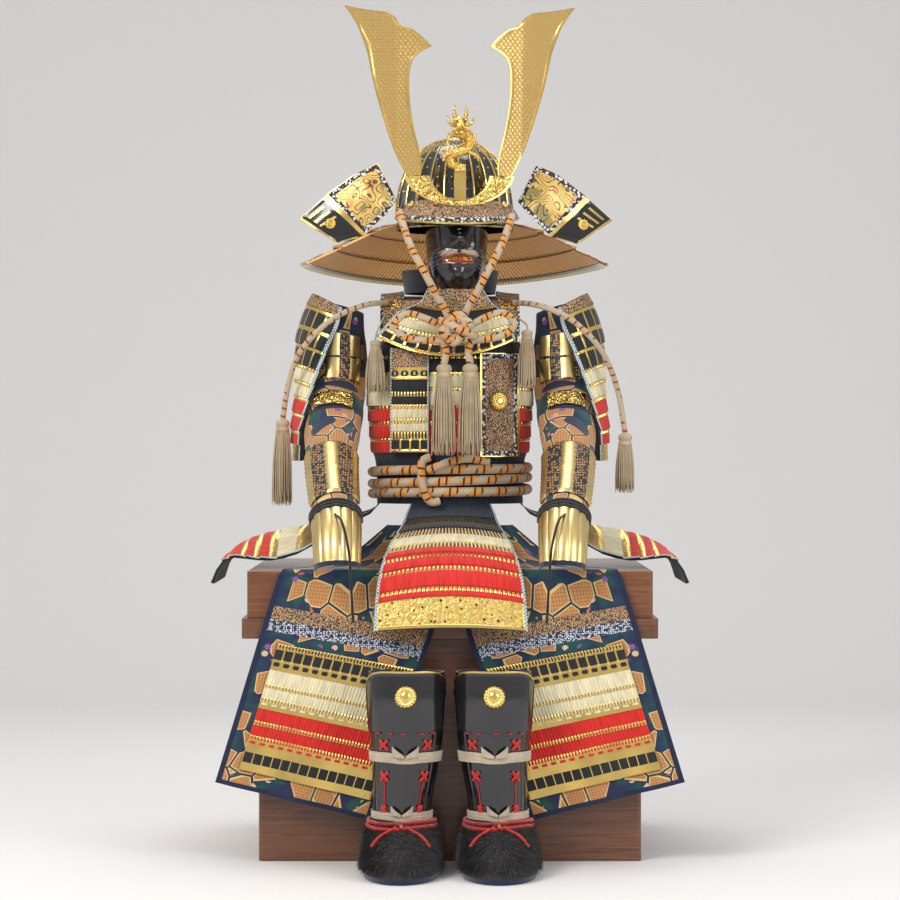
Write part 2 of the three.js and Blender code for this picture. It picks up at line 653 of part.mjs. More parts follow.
// Aprons over the thighs: cloth from the waist over the front edge of the lid, with plates sewn on.
const APRON = [
  { v: 0, innerX: 10, innerY: -104, innerZ: 497, outerX: 96, outerY: -84, outerZ: 497 },
  { v: 0.07, innerX: 11, innerY: -128, innerZ: 452, outerX: 150, outerY: -112, outerZ: 452 },
  { v: 0.13, innerX: 12, innerY: -160, innerZ: 434.6, outerX: 200, outerY: -150, outerZ: 434.6 },
  { v: 0.3, innerX: 18, innerY: -246.6, innerZ: 434.6, outerX: 250, outerY: -246.6, outerZ: 434.6 },
  { v: 0.34, innerX: 20, innerY: -249.5, innerZ: 427, outerX: 256, outerY: -249.5, outerZ: 427 },
  { v: 0.42, innerX: 24, innerY: -256, innerZ: 346, outerX: 268, outerY: -256, outerZ: 389 },
  { v: 1, innerX: 120, innerY: -268, innerZ: 66, outerX: 348, outerY: -268, outerZ: 122 },
];

function apronPoint(side, u, v) {
  const at = (c) => lookup(APRON, 'v', v, c);
  const mix = (p, q) => p + (q - p) * u;
  const hang = clamp01((v - 0.42) / 0.58);
  const wave = 3 * hang * hang * Math.sin(5 * Math.PI * u + 0.6);
  const [x, y, z] = ['X', 'Y', 'Z'].map((axis) => mix(at(`inner${axis}`), at(`outer${axis}`)));
  return vec(side * x, y - wave, z);
}

const APRON_ROWS = [0, 0.07, 0.13, 0.3, 0.34, 0.42, 0.54, 0.68, 0.84, 1];
const APRON_COLUMNS = spread(0, 1, 9);
const APRON_CLOTH = 2;

for (const [name, side] of [['left', -1], ['right', 1]]) {
  const cloth = (u, v) => apronPoint(side, u, v);
  add(`apron_${name}`, wall(cloth, {
    rows: APRON_ROWS.map(level), columns: APRON_COLUMNS, thickness: APRON_CLOTH, out: -side,
  }), brocade());

  const panel = facets(cloth, APRON_ROWS, APRON_COLUMNS);
  const plates = (u, v) => panel(0.04 + 0.84 * u, 0.42 + 0.58 * (0.21 + 0.69 * v));
  add(`apron_plates_${name}`, wall(plates, {
    rows: lames(0, 1, 7, 1.8),
    innerRows: [0, 0.2, 0.45, 0.7, 1],
    columns: spread(0, 1, 8),
    thickness: 1.8,
    from: APRON_CLOTH + FACET_GAP + 0.5,
    out: -side,
  }), redLace());
}

// Legs: shin guards standing in fur boots, with a plate over each knee.
const LEG_X = 65;
const LEG_Y = -313.4;
const SHIN = [
  { z: 290, halfWidth: 56, halfDepth: 50, x: 64 },
  { z: 240, halfWidth: 56, halfDepth: 50, x: 64 },
  { z: 205, halfWidth: 55, halfDepth: 48, x: 64 },
  { z: 150, halfWidth: 49, halfDepth: 44, x: 66 },
  { z: 100, halfWidth: 43, halfDepth: 39, x: 70 },
  { z: 66, halfWidth: 42, halfDepth: 38, x: 71 },
];
const KNEE = { top: 294, bottom: 205, gapOut: SEAM + 0.3 };

function shinPoint(side, angle, z, outBy) {
  const at = (c) => lookup(SHIN, 'z', z, c);
  const x = at('x') + (at('halfWidth') + outBy) * Math.sin(angle);
  return vec(side * x, LEG_Y - (at('halfDepth') + outBy) * Math.cos(angle), z);
}

const BOOT = [
  { z: 0, halfWidth: 54, front: -478, back: LEG_Y + 43 },
  { z: 9, halfWidth: 57, front: -481, back: LEG_Y + 45 },
  { z: 30, halfWidth: 56, front: -468, back: LEG_Y + 45 },
  { z: 52, halfWidth: 52.5, front: -426, back: LEG_Y + 47 },
  { z: 74, halfWidth: 48.8, front: LEG_Y - 45.6, back: LEG_Y + 45.6 },
];

for (const [name, side] of [['left', -1], ['right', 1]]) {
  const shin = (u, v) => shinPoint(side, Math.PI * (0.86 - 1.72 * u), 290 - 224 * v, -2.4);
  const ridge = (u, v) => (Math.abs(u - 0.5) < 0.02 && v > 0.4 ? 1.5 : 0);
  add(`shin_guard_${name}`, wall(shin, {
    rows: [0, 0.22, 0.38, 0.52, 0.7, 0.85, 1].map(level),
    innerRows: [0, 0.38, 0.62, 0.85, 1],
    columns: [0, 0.1, 0.2, 0.3, 0.4, 0.46, 0.5, 0.54, 0.6, 0.7, 0.8, 0.9, 1],
    innerColumns: spread(0, 1, 11),
    thickness: 2.4,
    out: side,
    relief: ridge,
  }), lacquer());

  const knee = (u, v) => {
    const z = KNEE.top + (KNEE.bottom - KNEE.top) * v;
    const halfAngle = 1.45 - 0.25 * v;
    return shinPoint(side, halfAngle * (1 - 2 * u), Math.min(z, 289), KNEE.gapOut + 1.5).setZ(z);
  };
  add(`knee_plate_${name}`, wall(knee, {
    rows: [level(0), level(0.06), level(0.3), level(0.55), level(0.94), level(1)],
    innerRows: [0, 0.3, 0.6, 1],
    columns: [0, 0.03, 0.15, 0.3, 0.42, 0.58, 0.7, 0.85, 0.97, 1],
    innerColumns: [0, 0.15, 0.3, 0.42, 0.58, 0.7, 0.85, 1],
    thickness: 2,
    out: side,
    relief: (u, v) => (u <= 0.03 || u >= 0.97 || v <= 0.06 || v >= 0.94 ? 1.2 : 0),
  }), lacquer());

  const x = side * LEG_X + side * 6;
  const bootPoint = (u, v, outBy) => {
    const z = BOOT[BOOT.length - 1].z * v;
    const at = (c) => lookup(BOOT, 'z', z, c);
    const middle = (at('front') + at('back')) / 2;
    const half = (at('back') - at('front')) / 2;
    const a = 2 * Math.PI * u;
    return vec(x + (at('halfWidth') + outBy) * Math.sin(a), middle - (half + outBy) * Math.cos(a), z);
  };
  add(`boot_${name}`, boot(bootPoint), blackFur());
}

// Boot: one closed wall with a sole, open at the ankle.
function boot(point) {
  const heights = [0, 0.12, 0.4, 0.7, 1];
  const turns = range(15).map((i) => i / 15);
  const outside = heights.map((v) => turns.map((u) => point(u, v, 0)));
  const inside = [1, 0.7, 0.4, 0.12].map((v) => turns.map((u) => point(u, v, -3.2)));
  return rings(outside.concat(inside));
}

// Helmet, mask and crest: made round the head's own axis, then turned and moved by onHead.
const headMatrix = new THREE.Matrix4().makeRotationZ(HEAD.turn).setPosition(HEAD.x, HEAD.y, 0);
const onHead = (geometry) => geometry.applyMatrix4(headMatrix);

const BOWL = { halfWidth: 91, halfLength: 105, rim: 958, band: 976, top: 1098, ribs: 12, thickness: 2.4 };

function bowlPoint(angle, z, outBy) {
  const t = clamp01((z - BOWL.band) / (BOWL.top - BOWL.band));
  const k = (1 - t ** 2.25) ** (1 / 2.25);
  const [halfX, halfY] = [BOWL.halfWidth * k + outBy, BOWL.halfLength * k + outBy];
  return vec(halfX * Math.sin(angle), -halfY * Math.cos(angle), z);
}

function helmetBowl() {
  const turns = range(BOWL.ribs * 2).map((i) => i / (BOWL.ribs * 2));
  const heights = [958, 976, 1004, 1034, 1060, 1082, 1093];
  const ring = (z, outBy, ribs) => turns.map((u, i) => {
    const raised = i % 2 ? 0 : ribs;
    return bowlPoint(2 * Math.PI * u, z, outBy + raised);
  });
  const outside = heights.map((z) => ring(z, 0, z > 980 ? 1.6 : 0));
  const inside = [1093, 1060, 1004, 958].map((z) => ring(z, -BOWL.thickness, 0));
  const lid = [turns.map(() => vec(0, 0, BOWL.top)), turns.map(() => vec(0, 0, BOWL.top - BOWL.thickness))];
  const triangles = [];
  const all = outside.concat(lid, inside);
  for (const r of range(all.length)) {
    const next = all[(r + 1) % all.length];
    for (const c of range(turns.length)) {
      const n = (c + 1) % turns.length;
      quad(triangles, all[r][c], all[r][n], next[n], next[c]);
    }
  }
  return closedGeometry(triangles);
}

add('helmet_bowl', onHead(helmetBowl()), lacquer());

// Visor: brim over the brow, deeper in the middle.
function visor() {
  const surface = (u, v) => {
    const a = THREE.MathUtils.degToRad(64) * (1 - 2 * u);
    const middle = Math.cos(a) ** 2;
    const rim = bowlPoint(a, 1000, 2.1);
    const reach = 10 + 20 * middle;
    const z = 1000 - 8 * (1 - middle) - v * (18 + 26 * middle);
    return vec(rim.x + reach * v * Math.sin(a), rim.y - reach * v * Math.cos(a), z);
  };
  return wall(surface, {
    rows: [level(0), level(0.5), level(0.9), { v: 0.93, lift: 0.9 }, { v: 1, lift: 0.9 }],
    innerRows: [0, 0.5, 1],
    columns: spread(0, 1, 13),
    thickness: 1.8,
    out: 1,
  });
}

add('visor', onHead(visor()), tanLeather());

// Neck guard: three flaring tiers round the back and sides of the helmet.
const NECK_TIERS = [
  { inner: 92.3, outer: 140, innerZ: 966, outerZ: 947, end: 60 },
  { inner: 135, outer: 190, innerZ: 946.3, outerZ: 915, end: 68 },
  { inner: 185, outer: 240, innerZ: 914.3, outerZ: 882, end: 75 },
];

function neckTier(tier) {
  const surface = (u, v) => {
    const a = THREE.MathUtils.degToRad(tier.end + (360 - 2 * tier.end) * u);
    const r = tier.inner + (tier.outer - tier.inner) * v;
    const long = BOWL.halfLength - BOWL.halfWidth;
    const share = (r - 93) / 147;
    const raise = 20 * share * Math.sin(a) ** 2;
    const z = tier.innerZ + (tier.outerZ - tier.innerZ) * v + raise;
    return vec(r * Math.sin(a), -(r + long * (1 - share)) * Math.cos(a), z);
  };
  return wall(surface, {
    rows: [level(0), level(0.92), { v: 0.94, lift: 1 }, { v: 1, lift: 1 }],
    innerRows: [0, 1],
    columns: spread(0, 1, 19),
    thickness: 2,
    out: -1,
  });
}

NECK_TIERS.forEach((tier, i) => add(`neck_guard_${i + 1}`, onHead(neckTier(tier)), lacquer()));

// Turn-back: the front end of the neck guard, rolled back beside the brow in two steps.
const TURNBACK = [
  { v: 0, upperX: 122, upperZ: 1054, lowerX: 96, lowerZ: 999, y: -58 },
  { v: 0.35, upperX: 155, upperZ: 1039, lowerX: 118, lowerZ: 971, y: -66 },
  { v: 0.7, upperX: 207, upperZ: 1002, lowerX: 146, lowerZ: 945, y: -55 },
  { v: 1, upperX: 242, upperZ: 970, lowerX: 188, lowerZ: 934, y: -56 },
];

function turnback(side) {
  const surface = (u, v) => {
    const at = (c) => lookup(TURNBACK, 'v', v, c);
    const x = at('upperX') + (at('lowerX') - at('upperX')) * u;
    const z = at('upperZ') + (at('lowerZ') - at('upperZ')) * u;
    return vec(side * x, at('y') + 12 * (1 - u) ** 2 - 5 * Math.sin(Math.PI * u), z);
  };
  return wall(surface, {
    rows: [0, 0.05, 0.18, 0.35, 0.52].map((v) => ({ v, lift: v > 0 ? 3 : 2 }))
      .concat([{ v: 0.66, lift: 3 }, { v: 0.7, lift: 0 }, { v: 0.85, lift: 0 }, { v: 1, lift: 0 }]),
    innerRows: [0, 0.18, 0.35, 0.7, 1],
    columns: spread(0, 1, 7),
    thickness: 2.4,
    out: side,
  });
}

add('turnback_left', onHead(turnback(-1)), gold());
add('turnback_right', onHead(turnback(1)), gold());

// Crest: U-shaped base in front of the bowl, two horns in its arms and a dragon on its tongue.
const CREST = { y: -118, ringZ: 1042, opening: 46, outerX: 84, outerZ: 55, horns: 1034 };
const crestDepth = (x) => CREST.y + (x * x) / 420;

function crestBase() {
  const surface = (u, v) => {
    const a = Math.PI * (1.05 + 0.9 * u);
    const rx = CREST.opening + (CREST.outerX - CREST.opening) * v;
    const rz = CREST.opening + (CREST.outerZ - CREST.opening) * v;
    const x = rx * Math.cos(a);
    return vec(x, crestDepth(x), Math.min(CREST.horns - SEAM, CREST.ringZ + rz * Math.sin(a)));
  };
  const plate = wall(surface, {
    rows: [level(0), level(1)], columns: spread(0, 1, 15), thickness: 2.4, out: -1,
  });
  const tongue = boxBetween(-9, 9, CREST.y - 2.4, CREST.y - 0.1, 990, 1043);
  return join([plate, tongue]);
}

add('crest_base', onHead(crestBase()), gold());

// Horn outline, from the foot up: outer edge and inner edge; the barb is in the middle.
const HORN = [
  { outerX: 80, outerZ: 1034.2, innerX: 59, innerZ: 1034.2 },
  { outerX: 93, outerZ: 1055, innerX: 56, innerZ: 1058 },
  { outerX: 105, outerZ: 1086, innerX: 67, innerZ: 1089 },
  { outerX: 117, outerZ: 1121, innerX: 75, innerZ: 1130 },
  { outerX: 131, outerZ: 1169, innerX: 79, innerZ: 1176 },
  { outerX: 136, outerZ: 1194, innerX: 76, innerZ: 1201 },
  { outerX: 140, outerZ: 1216, innerX: 71, innerZ: 1213 },
  { outerX: 143, outerZ: 1226, innerX: 58, innerZ: 1222 },
  { outerX: 146, outerZ: 1235, innerX: 44, innerZ: 1229 },
  { outerX: 148, outerZ: 1240, innerX: 57, innerZ: 1243 },
  { outerX: 150, outerZ: 1245, innerX: 72, innerZ: 1255 },
  { outerX: 153, outerZ: 1253, innerX: 90, innerZ: 1261 },
  { outerX: 157, outerZ: 1262, innerX: 99, innerZ: 1275 },
  { outerX: 162, outerZ: 1270, innerX: 112, innerZ: 1282 },
  { outerX: 169, outerZ: 1281, innerX: 143, innerZ: 1285 },
  { outerX: 177, outerZ: 1291, innerX: 176, innerZ: 1291 },
];

function horn(side) {
  const lean = (z) => -0.09 * (z - CREST.horns);
  const triangles = [];
  const sections = HORN.map((row) => spread(0, 1, 4).map((t) => {
    const x = row.outerX + (row.innerX - row.outerX) * t;
    const z = row.outerZ + (row.innerZ - row.outerZ) * t;
    const half = t > 0.01 && t < 0.99 ? 1.7 : 0.7;
    const y = crestDepth(Math.min(x, 95)) - 1.2 + lean(z);
    return { front: vec(side * x, y - half, z), back: vec(side * x, y + half, z) };
  }));
  for (const r of range(sections.length - 1)) {
    for (const c of range(3)) {
      const [p, q, s, t] = [sections[r][c], sections[r][c + 1], sections[r + 1][c + 1], sections[r + 1][c]];
      quad(triangles, p.front, q.front, s.front, t.front);
      quad(triangles, p.back, t.back, s.back, q.back);
    }
    for (const c of [0, 3]) {
      const [p, t] = [sections[r][c], sections[r + 1][c]];
      if (c === 0) quad(triangles, p.front, t.front, t.back, p.back);
      else quad(triangles, p.front, p.back, t.back, t.front);
    }
  }
  for (const c of range(3)) {
    const [foot, tip] = [sections[0], sections[sections.length - 1]];
    quad(triangles, foot[c].front, foot[c].back, foot[c + 1].back, foot[c + 1].front);
    quad(triangles, tip[c].front, tip[c + 1].front, tip[c + 1].back, tip[c].back);
  }
  return closedGeometry(triangles);
}

add('horn_left', onHead(horn(-1)), gold());
add('horn_right', onHead(horn(1)), gold());

// Dragon: coiled body, raised head with two horns and whiskers, standing on the tongue.
function taper(points, radii, sides = 7) {
  const path = new THREE.CatmullRomCurve3(points, false, 'centripetal');
  const steps = radii.length - 1;
  const frames = path.computeFrenetFrames(steps, false);
  return rings(radii.map((radius, i) => range(sides).map((k) => {
    const a = (2 * Math.PI * k) / sides;
    return path.getPoint(i / steps)
      .addScaledVector(frames.normals[i], radius * Math.cos(a))
      .addScaledVector(frames.binormals[i], radius * Math.sin(a));
  })));
}

function dragon() {
  const y = CREST.y - 9;
  const body = taper([
    vec(2, y + 3, 1046), vec(-13, y, 1050), vec(-15, y - 2, 1064), vec(2, y - 5, 1070),
    vec(14, y - 3, 1078), vec(12, y - 2, 1092), vec(-2, y - 4, 1098), vec(-4, y - 8, 1108),
  ], [4, 6, 7.5, 8, 8, 8, 8, 8, 7.5, 6.5], 6);
  const head = taper(
    [vec(-3, y - 3, 1114), vec(-2, y - 12, 1110), vec(0, y - 24, 1104)],
    [5, 11, 10, 7, 7, 4],
    6,
  );
  const onSide = (side, [px, py, pz]) => vec(side * px, y + py, pz);
  const spike = (side, points, radii) => taper(points.map((point) => onSide(side, point)), radii, 4);
  const spikes = [-1, 1].flatMap((side) => [
    spike(side, [[4, -4, 1114], [9, 0, 1126], [8, 3, 1141]], [3.6, 3, 1]),
    spike(side, [[6, -6, 1108], [16, -6, 1112], [21, -4, 1124]], [3.2, 2.6, 0.8]),
    spike(side, [[2, -3, 1096], [17, -8, 1092], [21, -10, 1078]], [4, 3.4, 1.8]),
  ]);
  const foot = boxBetween(-8, 8, CREST.y - 12, CREST.y - 3.3, 1040, 1050);
  return join([body, head, foot, ...spikes]);
}

add('dragon', onHead(dragon()), gold());

// Half mask: nose, cheeks, mouth and chin, hollow behind.
const MASK = { halfWidth: 46, depth: 56, y: -45, top: 957.4, bottom: 864 };

const MASK_FORMS = [
  { form: 'nose', out: 20, x: 0, z: 938, wide: 9, high: 12 },
  { form: 'upper lip', out: 5, x: 0, z: 917, wide: 26, high: 4 },
  { form: 'mouth', out: -5, x: 0, z: 908, wide: 22, high: 4 },
  { form: 'chin', out: 8, x: 0, z: 884, wide: 18, high: 12 },
  { form: 'right cheek', out: 5, x: 30, z: 925, wide: 12, high: 12 },
  { form: 'left cheek', out: 5, x: -30, z: 925, wide: 12, high: 12 },
];

function faceMask() {
  const bump = (x, z, cx, cz, sx, sz) => Math.exp(-(((x - cx) / sx) ** 2) - ((z - cz) / sz) ** 2);
  const surface = (u, v) => {
    const a = THREE.MathUtils.degToRad(100) * (1 - 2 * u);
    const z = MASK.top - (MASK.top - MASK.bottom) * v;
    const chin = 1 - 0.38 * v ** 3;
    const x = MASK.halfWidth * chin * Math.sin(a);
    const front = clamp01(Math.cos(a));
    const form = MASK_FORMS.reduce((sum, f) => sum + f.out * bump(x, z, f.x, f.z, f.wide, f.high), 0);
    return vec(x, MASK.y - MASK.depth * (chin + 0.06) * Math.cos(a) - form * front, z);
  };
  return wall(surface, {
    rows: [0, 0.1, 0.2, 0.3, 0.4, 0.46, 0.53, 0.64, 0.8, 0.92, 1].map(level),
    innerRows: [0, 0.2, 0.4, 0.53, 0.8, 1],
    columns: [0, 0.12, 0.22, 0.3, 0.37, 0.44, 0.5, 0.56, 0.63, 0.7, 0.78, 0.88, 1],
    innerColumns: [0, 0.12, 0.3, 0.44, 0.5, 0.56, 0.7, 0.88, 1],
    thickness: 2.2,
    out: 1,
  });
}

add('face_mask', onHead(faceMask()), lacquer());

// Cords with tassels.
const CORD = { neck: 5.8, bow: 5.6, guard: 4.4, wrist: 2 };

// Knot of the bow: a rounded lump, flat behind, where the cords pass.
const KNOT = { x: 9, y: -158, z: 800, halfX: 30, halfY: 13, halfZ: 31, back: -149 };

function bowKnot() {
  const lump = new THREE.SphereGeometry(1, 14, 9).scale(KNOT.halfX, KNOT.halfY, KNOT.halfZ);
  const behind = boxBetween(-50, 50, KNOT.back, KNOT.back + 40, 700, 900);
  return cut(lump.translate(KNOT.x, KNOT.y, KNOT.z), [behind]);
}

add('bow_knot', bowKnot(), orangeCord());

// Tassel: a round head and a skirt of straight strands whose roots are in the head.
function tassel({ top, headRadius, headHeight, length, strands, spreadTo, strand, hanger }) {
  const [x, y, z] = top;
  const profile = [[0, -1], [0.85, -1], [1, -0.5], [0.8, -0.08], [0, 0]]
    .map(([r, h]) => new THREE.Vector2(headRadius * r, headHeight * h));
  const head = new THREE.LatheGeometry(profile, 8).rotateX(Math.PI / 2);
  const parts = [head.translate(x, y, z)];
  if (hanger) parts.push(tube([vec(x, y, z - 4), vec(x, y + 1, z + 6), vec(...hanger)], 1.5, 4));
  for (const i of range(strands)) {
    const share = Math.sqrt((i + 0.5) / strands);
    const a = i * 2.39996;
    const end = length * (0.94 + 0.06 * Math.cos(i * 1.7));
    const ring = (r, h, size) => range(3).map((k) => {
      const b = a + (2 * Math.PI * k) / 3;
      return vec(x + r * Math.cos(a) + size * Math.cos(b), y + r * Math.sin(a) + size * Math.sin(b), z - h);
    });
    const root = ring(headRadius * 0.7 * share, headHeight * 0.75, strand);
    parts.push(rings([root, ring(spreadTo * share, end, strand)]));
  }
  return join(parts);
}

const CENTRE_TASSEL = { headRadius: 12, headHeight: 20, length: 138, strands: 14, spreadTo: 18, strand: 2.8 };
const SHOULDER_TASSEL = { headRadius: 11, headHeight: 18, strands: 12, strand: 2.6 };
const CHEST_TASSEL = { headRadius: 9, headHeight: 15, strands: 9, strand: 2.4 };
const TASSELS = [
  { name: 'tassel_left', top: [-9, -138, 746], ...CENTRE_TASSEL },
  { name: 'tassel_right', top: [31, -138, 746], ...CENTRE_TASSEL },
  { name: 'shoulder_tassel_left', top: [-260, -62, 662], length: 132, spreadTo: 15, ...SHOULDER_TASSEL },
  { name: 'shoulder_tassel_right', top: [272, -62, 640], length: 90, spreadTo: 14, ...SHOULDER_TASSEL },
  {
    name: 'chest_tassel_left', top: [-115, -84, 784], length: 79, spreadTo: 15, ...CHEST_TASSEL,
    hanger: [-102, -63.6, 822],
  },
  {
    name: 'chest_tassel_right', top: [119, -90, 800], length: 88, spreadTo: 13, ...CHEST_TASSEL,
    hanger: [102, -63.6, 822],
  },
];

for (const { name, ...form } of TASSELS) add(name, tassel(form), beigeCord());

const CORDS = [
  {
    name: 'neck_cord_left', radius: CORD.neck, steps: 11, colour: orangeCord,
    points: [
      [-78.6, -114.2, 982], [-60, -146, 926], [-36, -158, 880],
      [-20, -149, 850], [-9, -142.8, 832], [-1, -142.4, 814],
    ],
  },
  {
    name: 'neck_cord_right', radius: CORD.neck, steps: 11, colour: orangeCord,
    points: [
      [96, -117.8, 974.6], [78, -146, 926], [54, -158, 880],
      [38, -149, 850], [27, -142.8, 832], [19, -142.4, 814],
    ],
  },
  {
    name: 'bow_cord_left', radius: CORD.bow, steps: 20, colour: orangeCord,
    points: [
      [-2, -142.8, 797], [-36, -142.8, 815], [-68, -142, 822], [-85, -141, 806], [-72, -142, 788],
      [-40, -142.8, 782], [-14, -142.8, 781], [-6, -140, 766], [-9, -138, 746.6],
    ],
  },
  {
    name: 'bow_cord_right', radius: CORD.bow, steps: 20, colour: orangeCord,
    points: [
      [20, -142.8, 797], [52, -142.8, 816], [82, -142, 824], [98, -141, 808], [86, -142, 792],
      [56, -142.8, 784], [34, -142.8, 781], [28, -140, 766], [31, -138, 746.6],
    ],
  },
  {
    name: 'shoulder_cord_left', radius: CORD.guard, steps: 14, colour: beigeCord,
    points: [
      [-98, -49.5, 844], [-126, -80, 840], [-160, -94, 828], [-190, -98, 810], [-222, -96, 778],
      [-240, -84, 750], [-254, -66, 700], [-260, -62, 662.6],
    ],
  },
  {
    name: 'shoulder_cord_right', radius: CORD.guard, steps: 14, colour: beigeCord,
    points: [
      [98, -49.5, 844], [128, -80, 840], [164, -94, 828], [194, -98, 810], [226, -96, 778],
      [244, -84, 750], [262, -66, 700], [272, -62, 640.6],
    ],
  },
  {
    name: 'wrist_cord_left', radius: CORD.wrist, steps: 8, colour: blackCord,
    points: [[-170, -286, 520.4], [-160, -306, 511], [-149, -323, 470], [-145, -322, 415], [-142, -318, 362]],
  },
  {
    name: 'wrist_cord_right', radius: CORD.wrist, steps: 8, colour: blackCord,
    points: [[170, -286, 520.4], [160, -306, 511], [149, -323, 470], [145, -322, 415], [142, -318, 362]],
  },
];

for (const cord of CORDS) {
  add(cord.name, tube(cord.points.map(([x, y, z]) => vec(x, y, z)), cord.radius, cord.steps), cord.colour());
}

export default armour;
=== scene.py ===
import math

import bmesh
import bpy
import numpy as np
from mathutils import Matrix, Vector


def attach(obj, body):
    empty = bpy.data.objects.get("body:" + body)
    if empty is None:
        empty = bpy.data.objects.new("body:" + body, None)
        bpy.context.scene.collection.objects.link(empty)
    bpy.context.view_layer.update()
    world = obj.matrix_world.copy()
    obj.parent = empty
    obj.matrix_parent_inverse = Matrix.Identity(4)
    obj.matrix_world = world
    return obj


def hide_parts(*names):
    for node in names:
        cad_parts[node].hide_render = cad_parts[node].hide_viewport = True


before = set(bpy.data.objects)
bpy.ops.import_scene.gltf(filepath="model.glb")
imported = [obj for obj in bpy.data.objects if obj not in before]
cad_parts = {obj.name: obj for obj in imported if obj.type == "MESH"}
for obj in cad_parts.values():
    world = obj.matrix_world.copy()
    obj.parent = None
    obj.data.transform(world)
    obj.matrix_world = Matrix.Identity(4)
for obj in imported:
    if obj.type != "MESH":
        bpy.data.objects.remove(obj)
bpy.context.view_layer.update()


# Camera, pale floor with a rounded back wall, and soft studio light. The view is level, from in front
# of the armour's waist, with a long lens as in the photograph.
def add(name, data):
    obj = bpy.data.objects.new(name, data)
    bpy.context.collection.objects.link(obj)
    return obj


camera = add("camera", bpy.data.cameras.new("camera"))
camera.location = (0, -4.68, 0.63)
camera.rotation_euler = (math.pi / 2, 0, 0)
camera.data.lens = 118.9
camera.data.shift_y = -10 / 900
bpy.context.scene.camera = camera


def lamp(name, place, aim, size, power, colour):
    light = bpy.data.lights.new(name, "AREA")
    light.size = size
    light.energy = power
    light.color = colour
    obj = add(name, light)
    obj.location = place
    obj.rotation_euler = (Vector(aim) - Vector(place)).to_track_quat("-Z", "Y").to_euler()


lamp("key", (-1.9, -2.6, 2.7), (0, 0, 0.6), 1.5, 88, (1.0, 0.97, 0.93))
lamp("fill", (2.4, -2.4, 1.6), (0, 0, 0.6), 1.8, 44, (0.95, 0.97, 1.0))
lamp("top", (0, 0.4, 3.0), (0, 0, 0.5), 1.6, 34, (1.0, 1.0, 1.0))

world = bpy.data.worlds.new("studio")
world.use_nodes = True
world.node_tree.nodes["Background"].inputs["Color"].default_value = (0.92, 0.93, 0.95, 1)
world.node_tree.nodes["Background"].inputs["Strength"].default_value = 0.62
bpy.context.scene.world = world
bpy.context.scene.view_settings.view_transform = "Standard"


def make(tree, kind, values=None, **settings):
    """A shader or geometry node with its settings, values and links in one call."""
    node = tree.nodes.new(kind)
    for key, value in settings.items():
        setattr(node, key, value)
    for socket, value in (values or {}).items():
        if isinstance(value, bpy.types.NodeSocket):
            tree.links.new(value, node.inputs[socket])
        else:
            node.inputs[socket].default_value = value
    return node


def toned(colour, times):
    return tuple(min(1, times * c) for c in colour)


def finish_of(name, colour, rough, metal=0.0, sheen=0.0, coat=0.0, specular=0.5):
    """A material with one Principled shader; returns it, its tree and the shader."""
    material = bpy.data.materials.new(name)
    material.use_nodes = True
    shader = material.node_tree.nodes["Principled BSDF"]
    for socket, value in {
        "Base Color": (*colour, 1), "Roughness": rough, "Metallic": metal, "Sheen Weight": sheen,
        "Coat Weight": coat, "Coat Roughness": 0.05, "Specular IOR Level": specular,
    }.items():
        shader.inputs[socket].default_value = value
    return material, material.node_tree, shader


def op(tree, operation, a, b=0.0, c=0.0):
    return make(tree, "ShaderNodeMath", {0: a, 1: b, 2: c}, operation=operation).outputs[0]


def mix(tree, factor, a, b):
    """Colour a where factor is 0, b where it is 1."""
    values = {0: factor, 6: a if isinstance(a, bpy.types.NodeSocket) else (*a, 1),
        7: b if isinstance(b, bpy.types.NodeSocket) else (*b, 1)}
    return make(tree, "ShaderNodeMix", values, data_type="RGBA").outputs[2]


def noise(tree, where, scale, detail=3.0, rough=0.55):
    return make(tree, "ShaderNodeTexNoise", {"Vector": where, "Scale": scale, "Detail": detail,
        "Roughness": rough}).outputs["Fac"]


def place(tree, source="Object", scale=(1, 1, 1), turn=(0, 0, 0)):
    """Coordinates of the surface, in metres, stretched and turned."""
    coordinates = make(tree, "ShaderNodeTexCoord").outputs[source]
    return make(tree, "ShaderNodeMapping", {"Vector": coordinates, "Scale": scale,
        "Rotation": turn}).outputs[0]


def tint(tree, shader, colour):
    tree.links.new(colour, shader.inputs["Base Color"])


def axes(tree, where):
    return make(tree, "ShaderNodeSeparateXYZ", {0: where}).outputs


def bump(tree, shader, height, distance, strength=1.0):
    node = make(tree, "ShaderNodeBump", {"Height": height, "Distance": distance, "Strength": strength})
    tree.links.new(node.outputs[0], shader.inputs["Normal"])


def ramp(tree, value, stops):
    node = make(tree, "ShaderNodeValToRGB", {"Fac": value})
    elements = node.color_ramp.elements
    while len(elements) < len(stops):
        elements.new(0.5)
    for element, (position, colour) in zip(elements, stops):
        element.position = position
        element.color = (*colour, 1)
    return node.outputs[0]


def stage_floor():
    profile = [(-7.0, 0.0), (2.4, 0.0)]
    profile += [(2.4 + 1.6 * math.sin(a), 1.6 - 1.6 * math.cos(a))
        for a in np.linspace(0.1, math.pi / 2, 14)]
    profile += [(4.0, 6.0)]
    mesh = bpy.data.meshes.new("studio_floor")
    corners = [(x, y, z - 0.0005) for y, z in profile for x in (-7.0, 7.0)]
    mesh.from_pydata(corners, [], [(2 * i, 2 * i + 1, 2 * i + 3, 2 * i + 2)
        for i in range(len(profile) - 1)])
    mesh.shade_smooth()
    floor = add("studio_floor", mesh)
    material, tree, shader = finish_of("pale_paper", (0.74, 0.725, 0.71), 0.85)
    mesh.materials.append(material)


stage_floor()


# Wooden chest that holds the armour and carries it when it is shown: a box with a raised ledge and a
# lid. Boards faced with walnut veneer, satin varnish; the grain runs across the front.
MM = 0.001


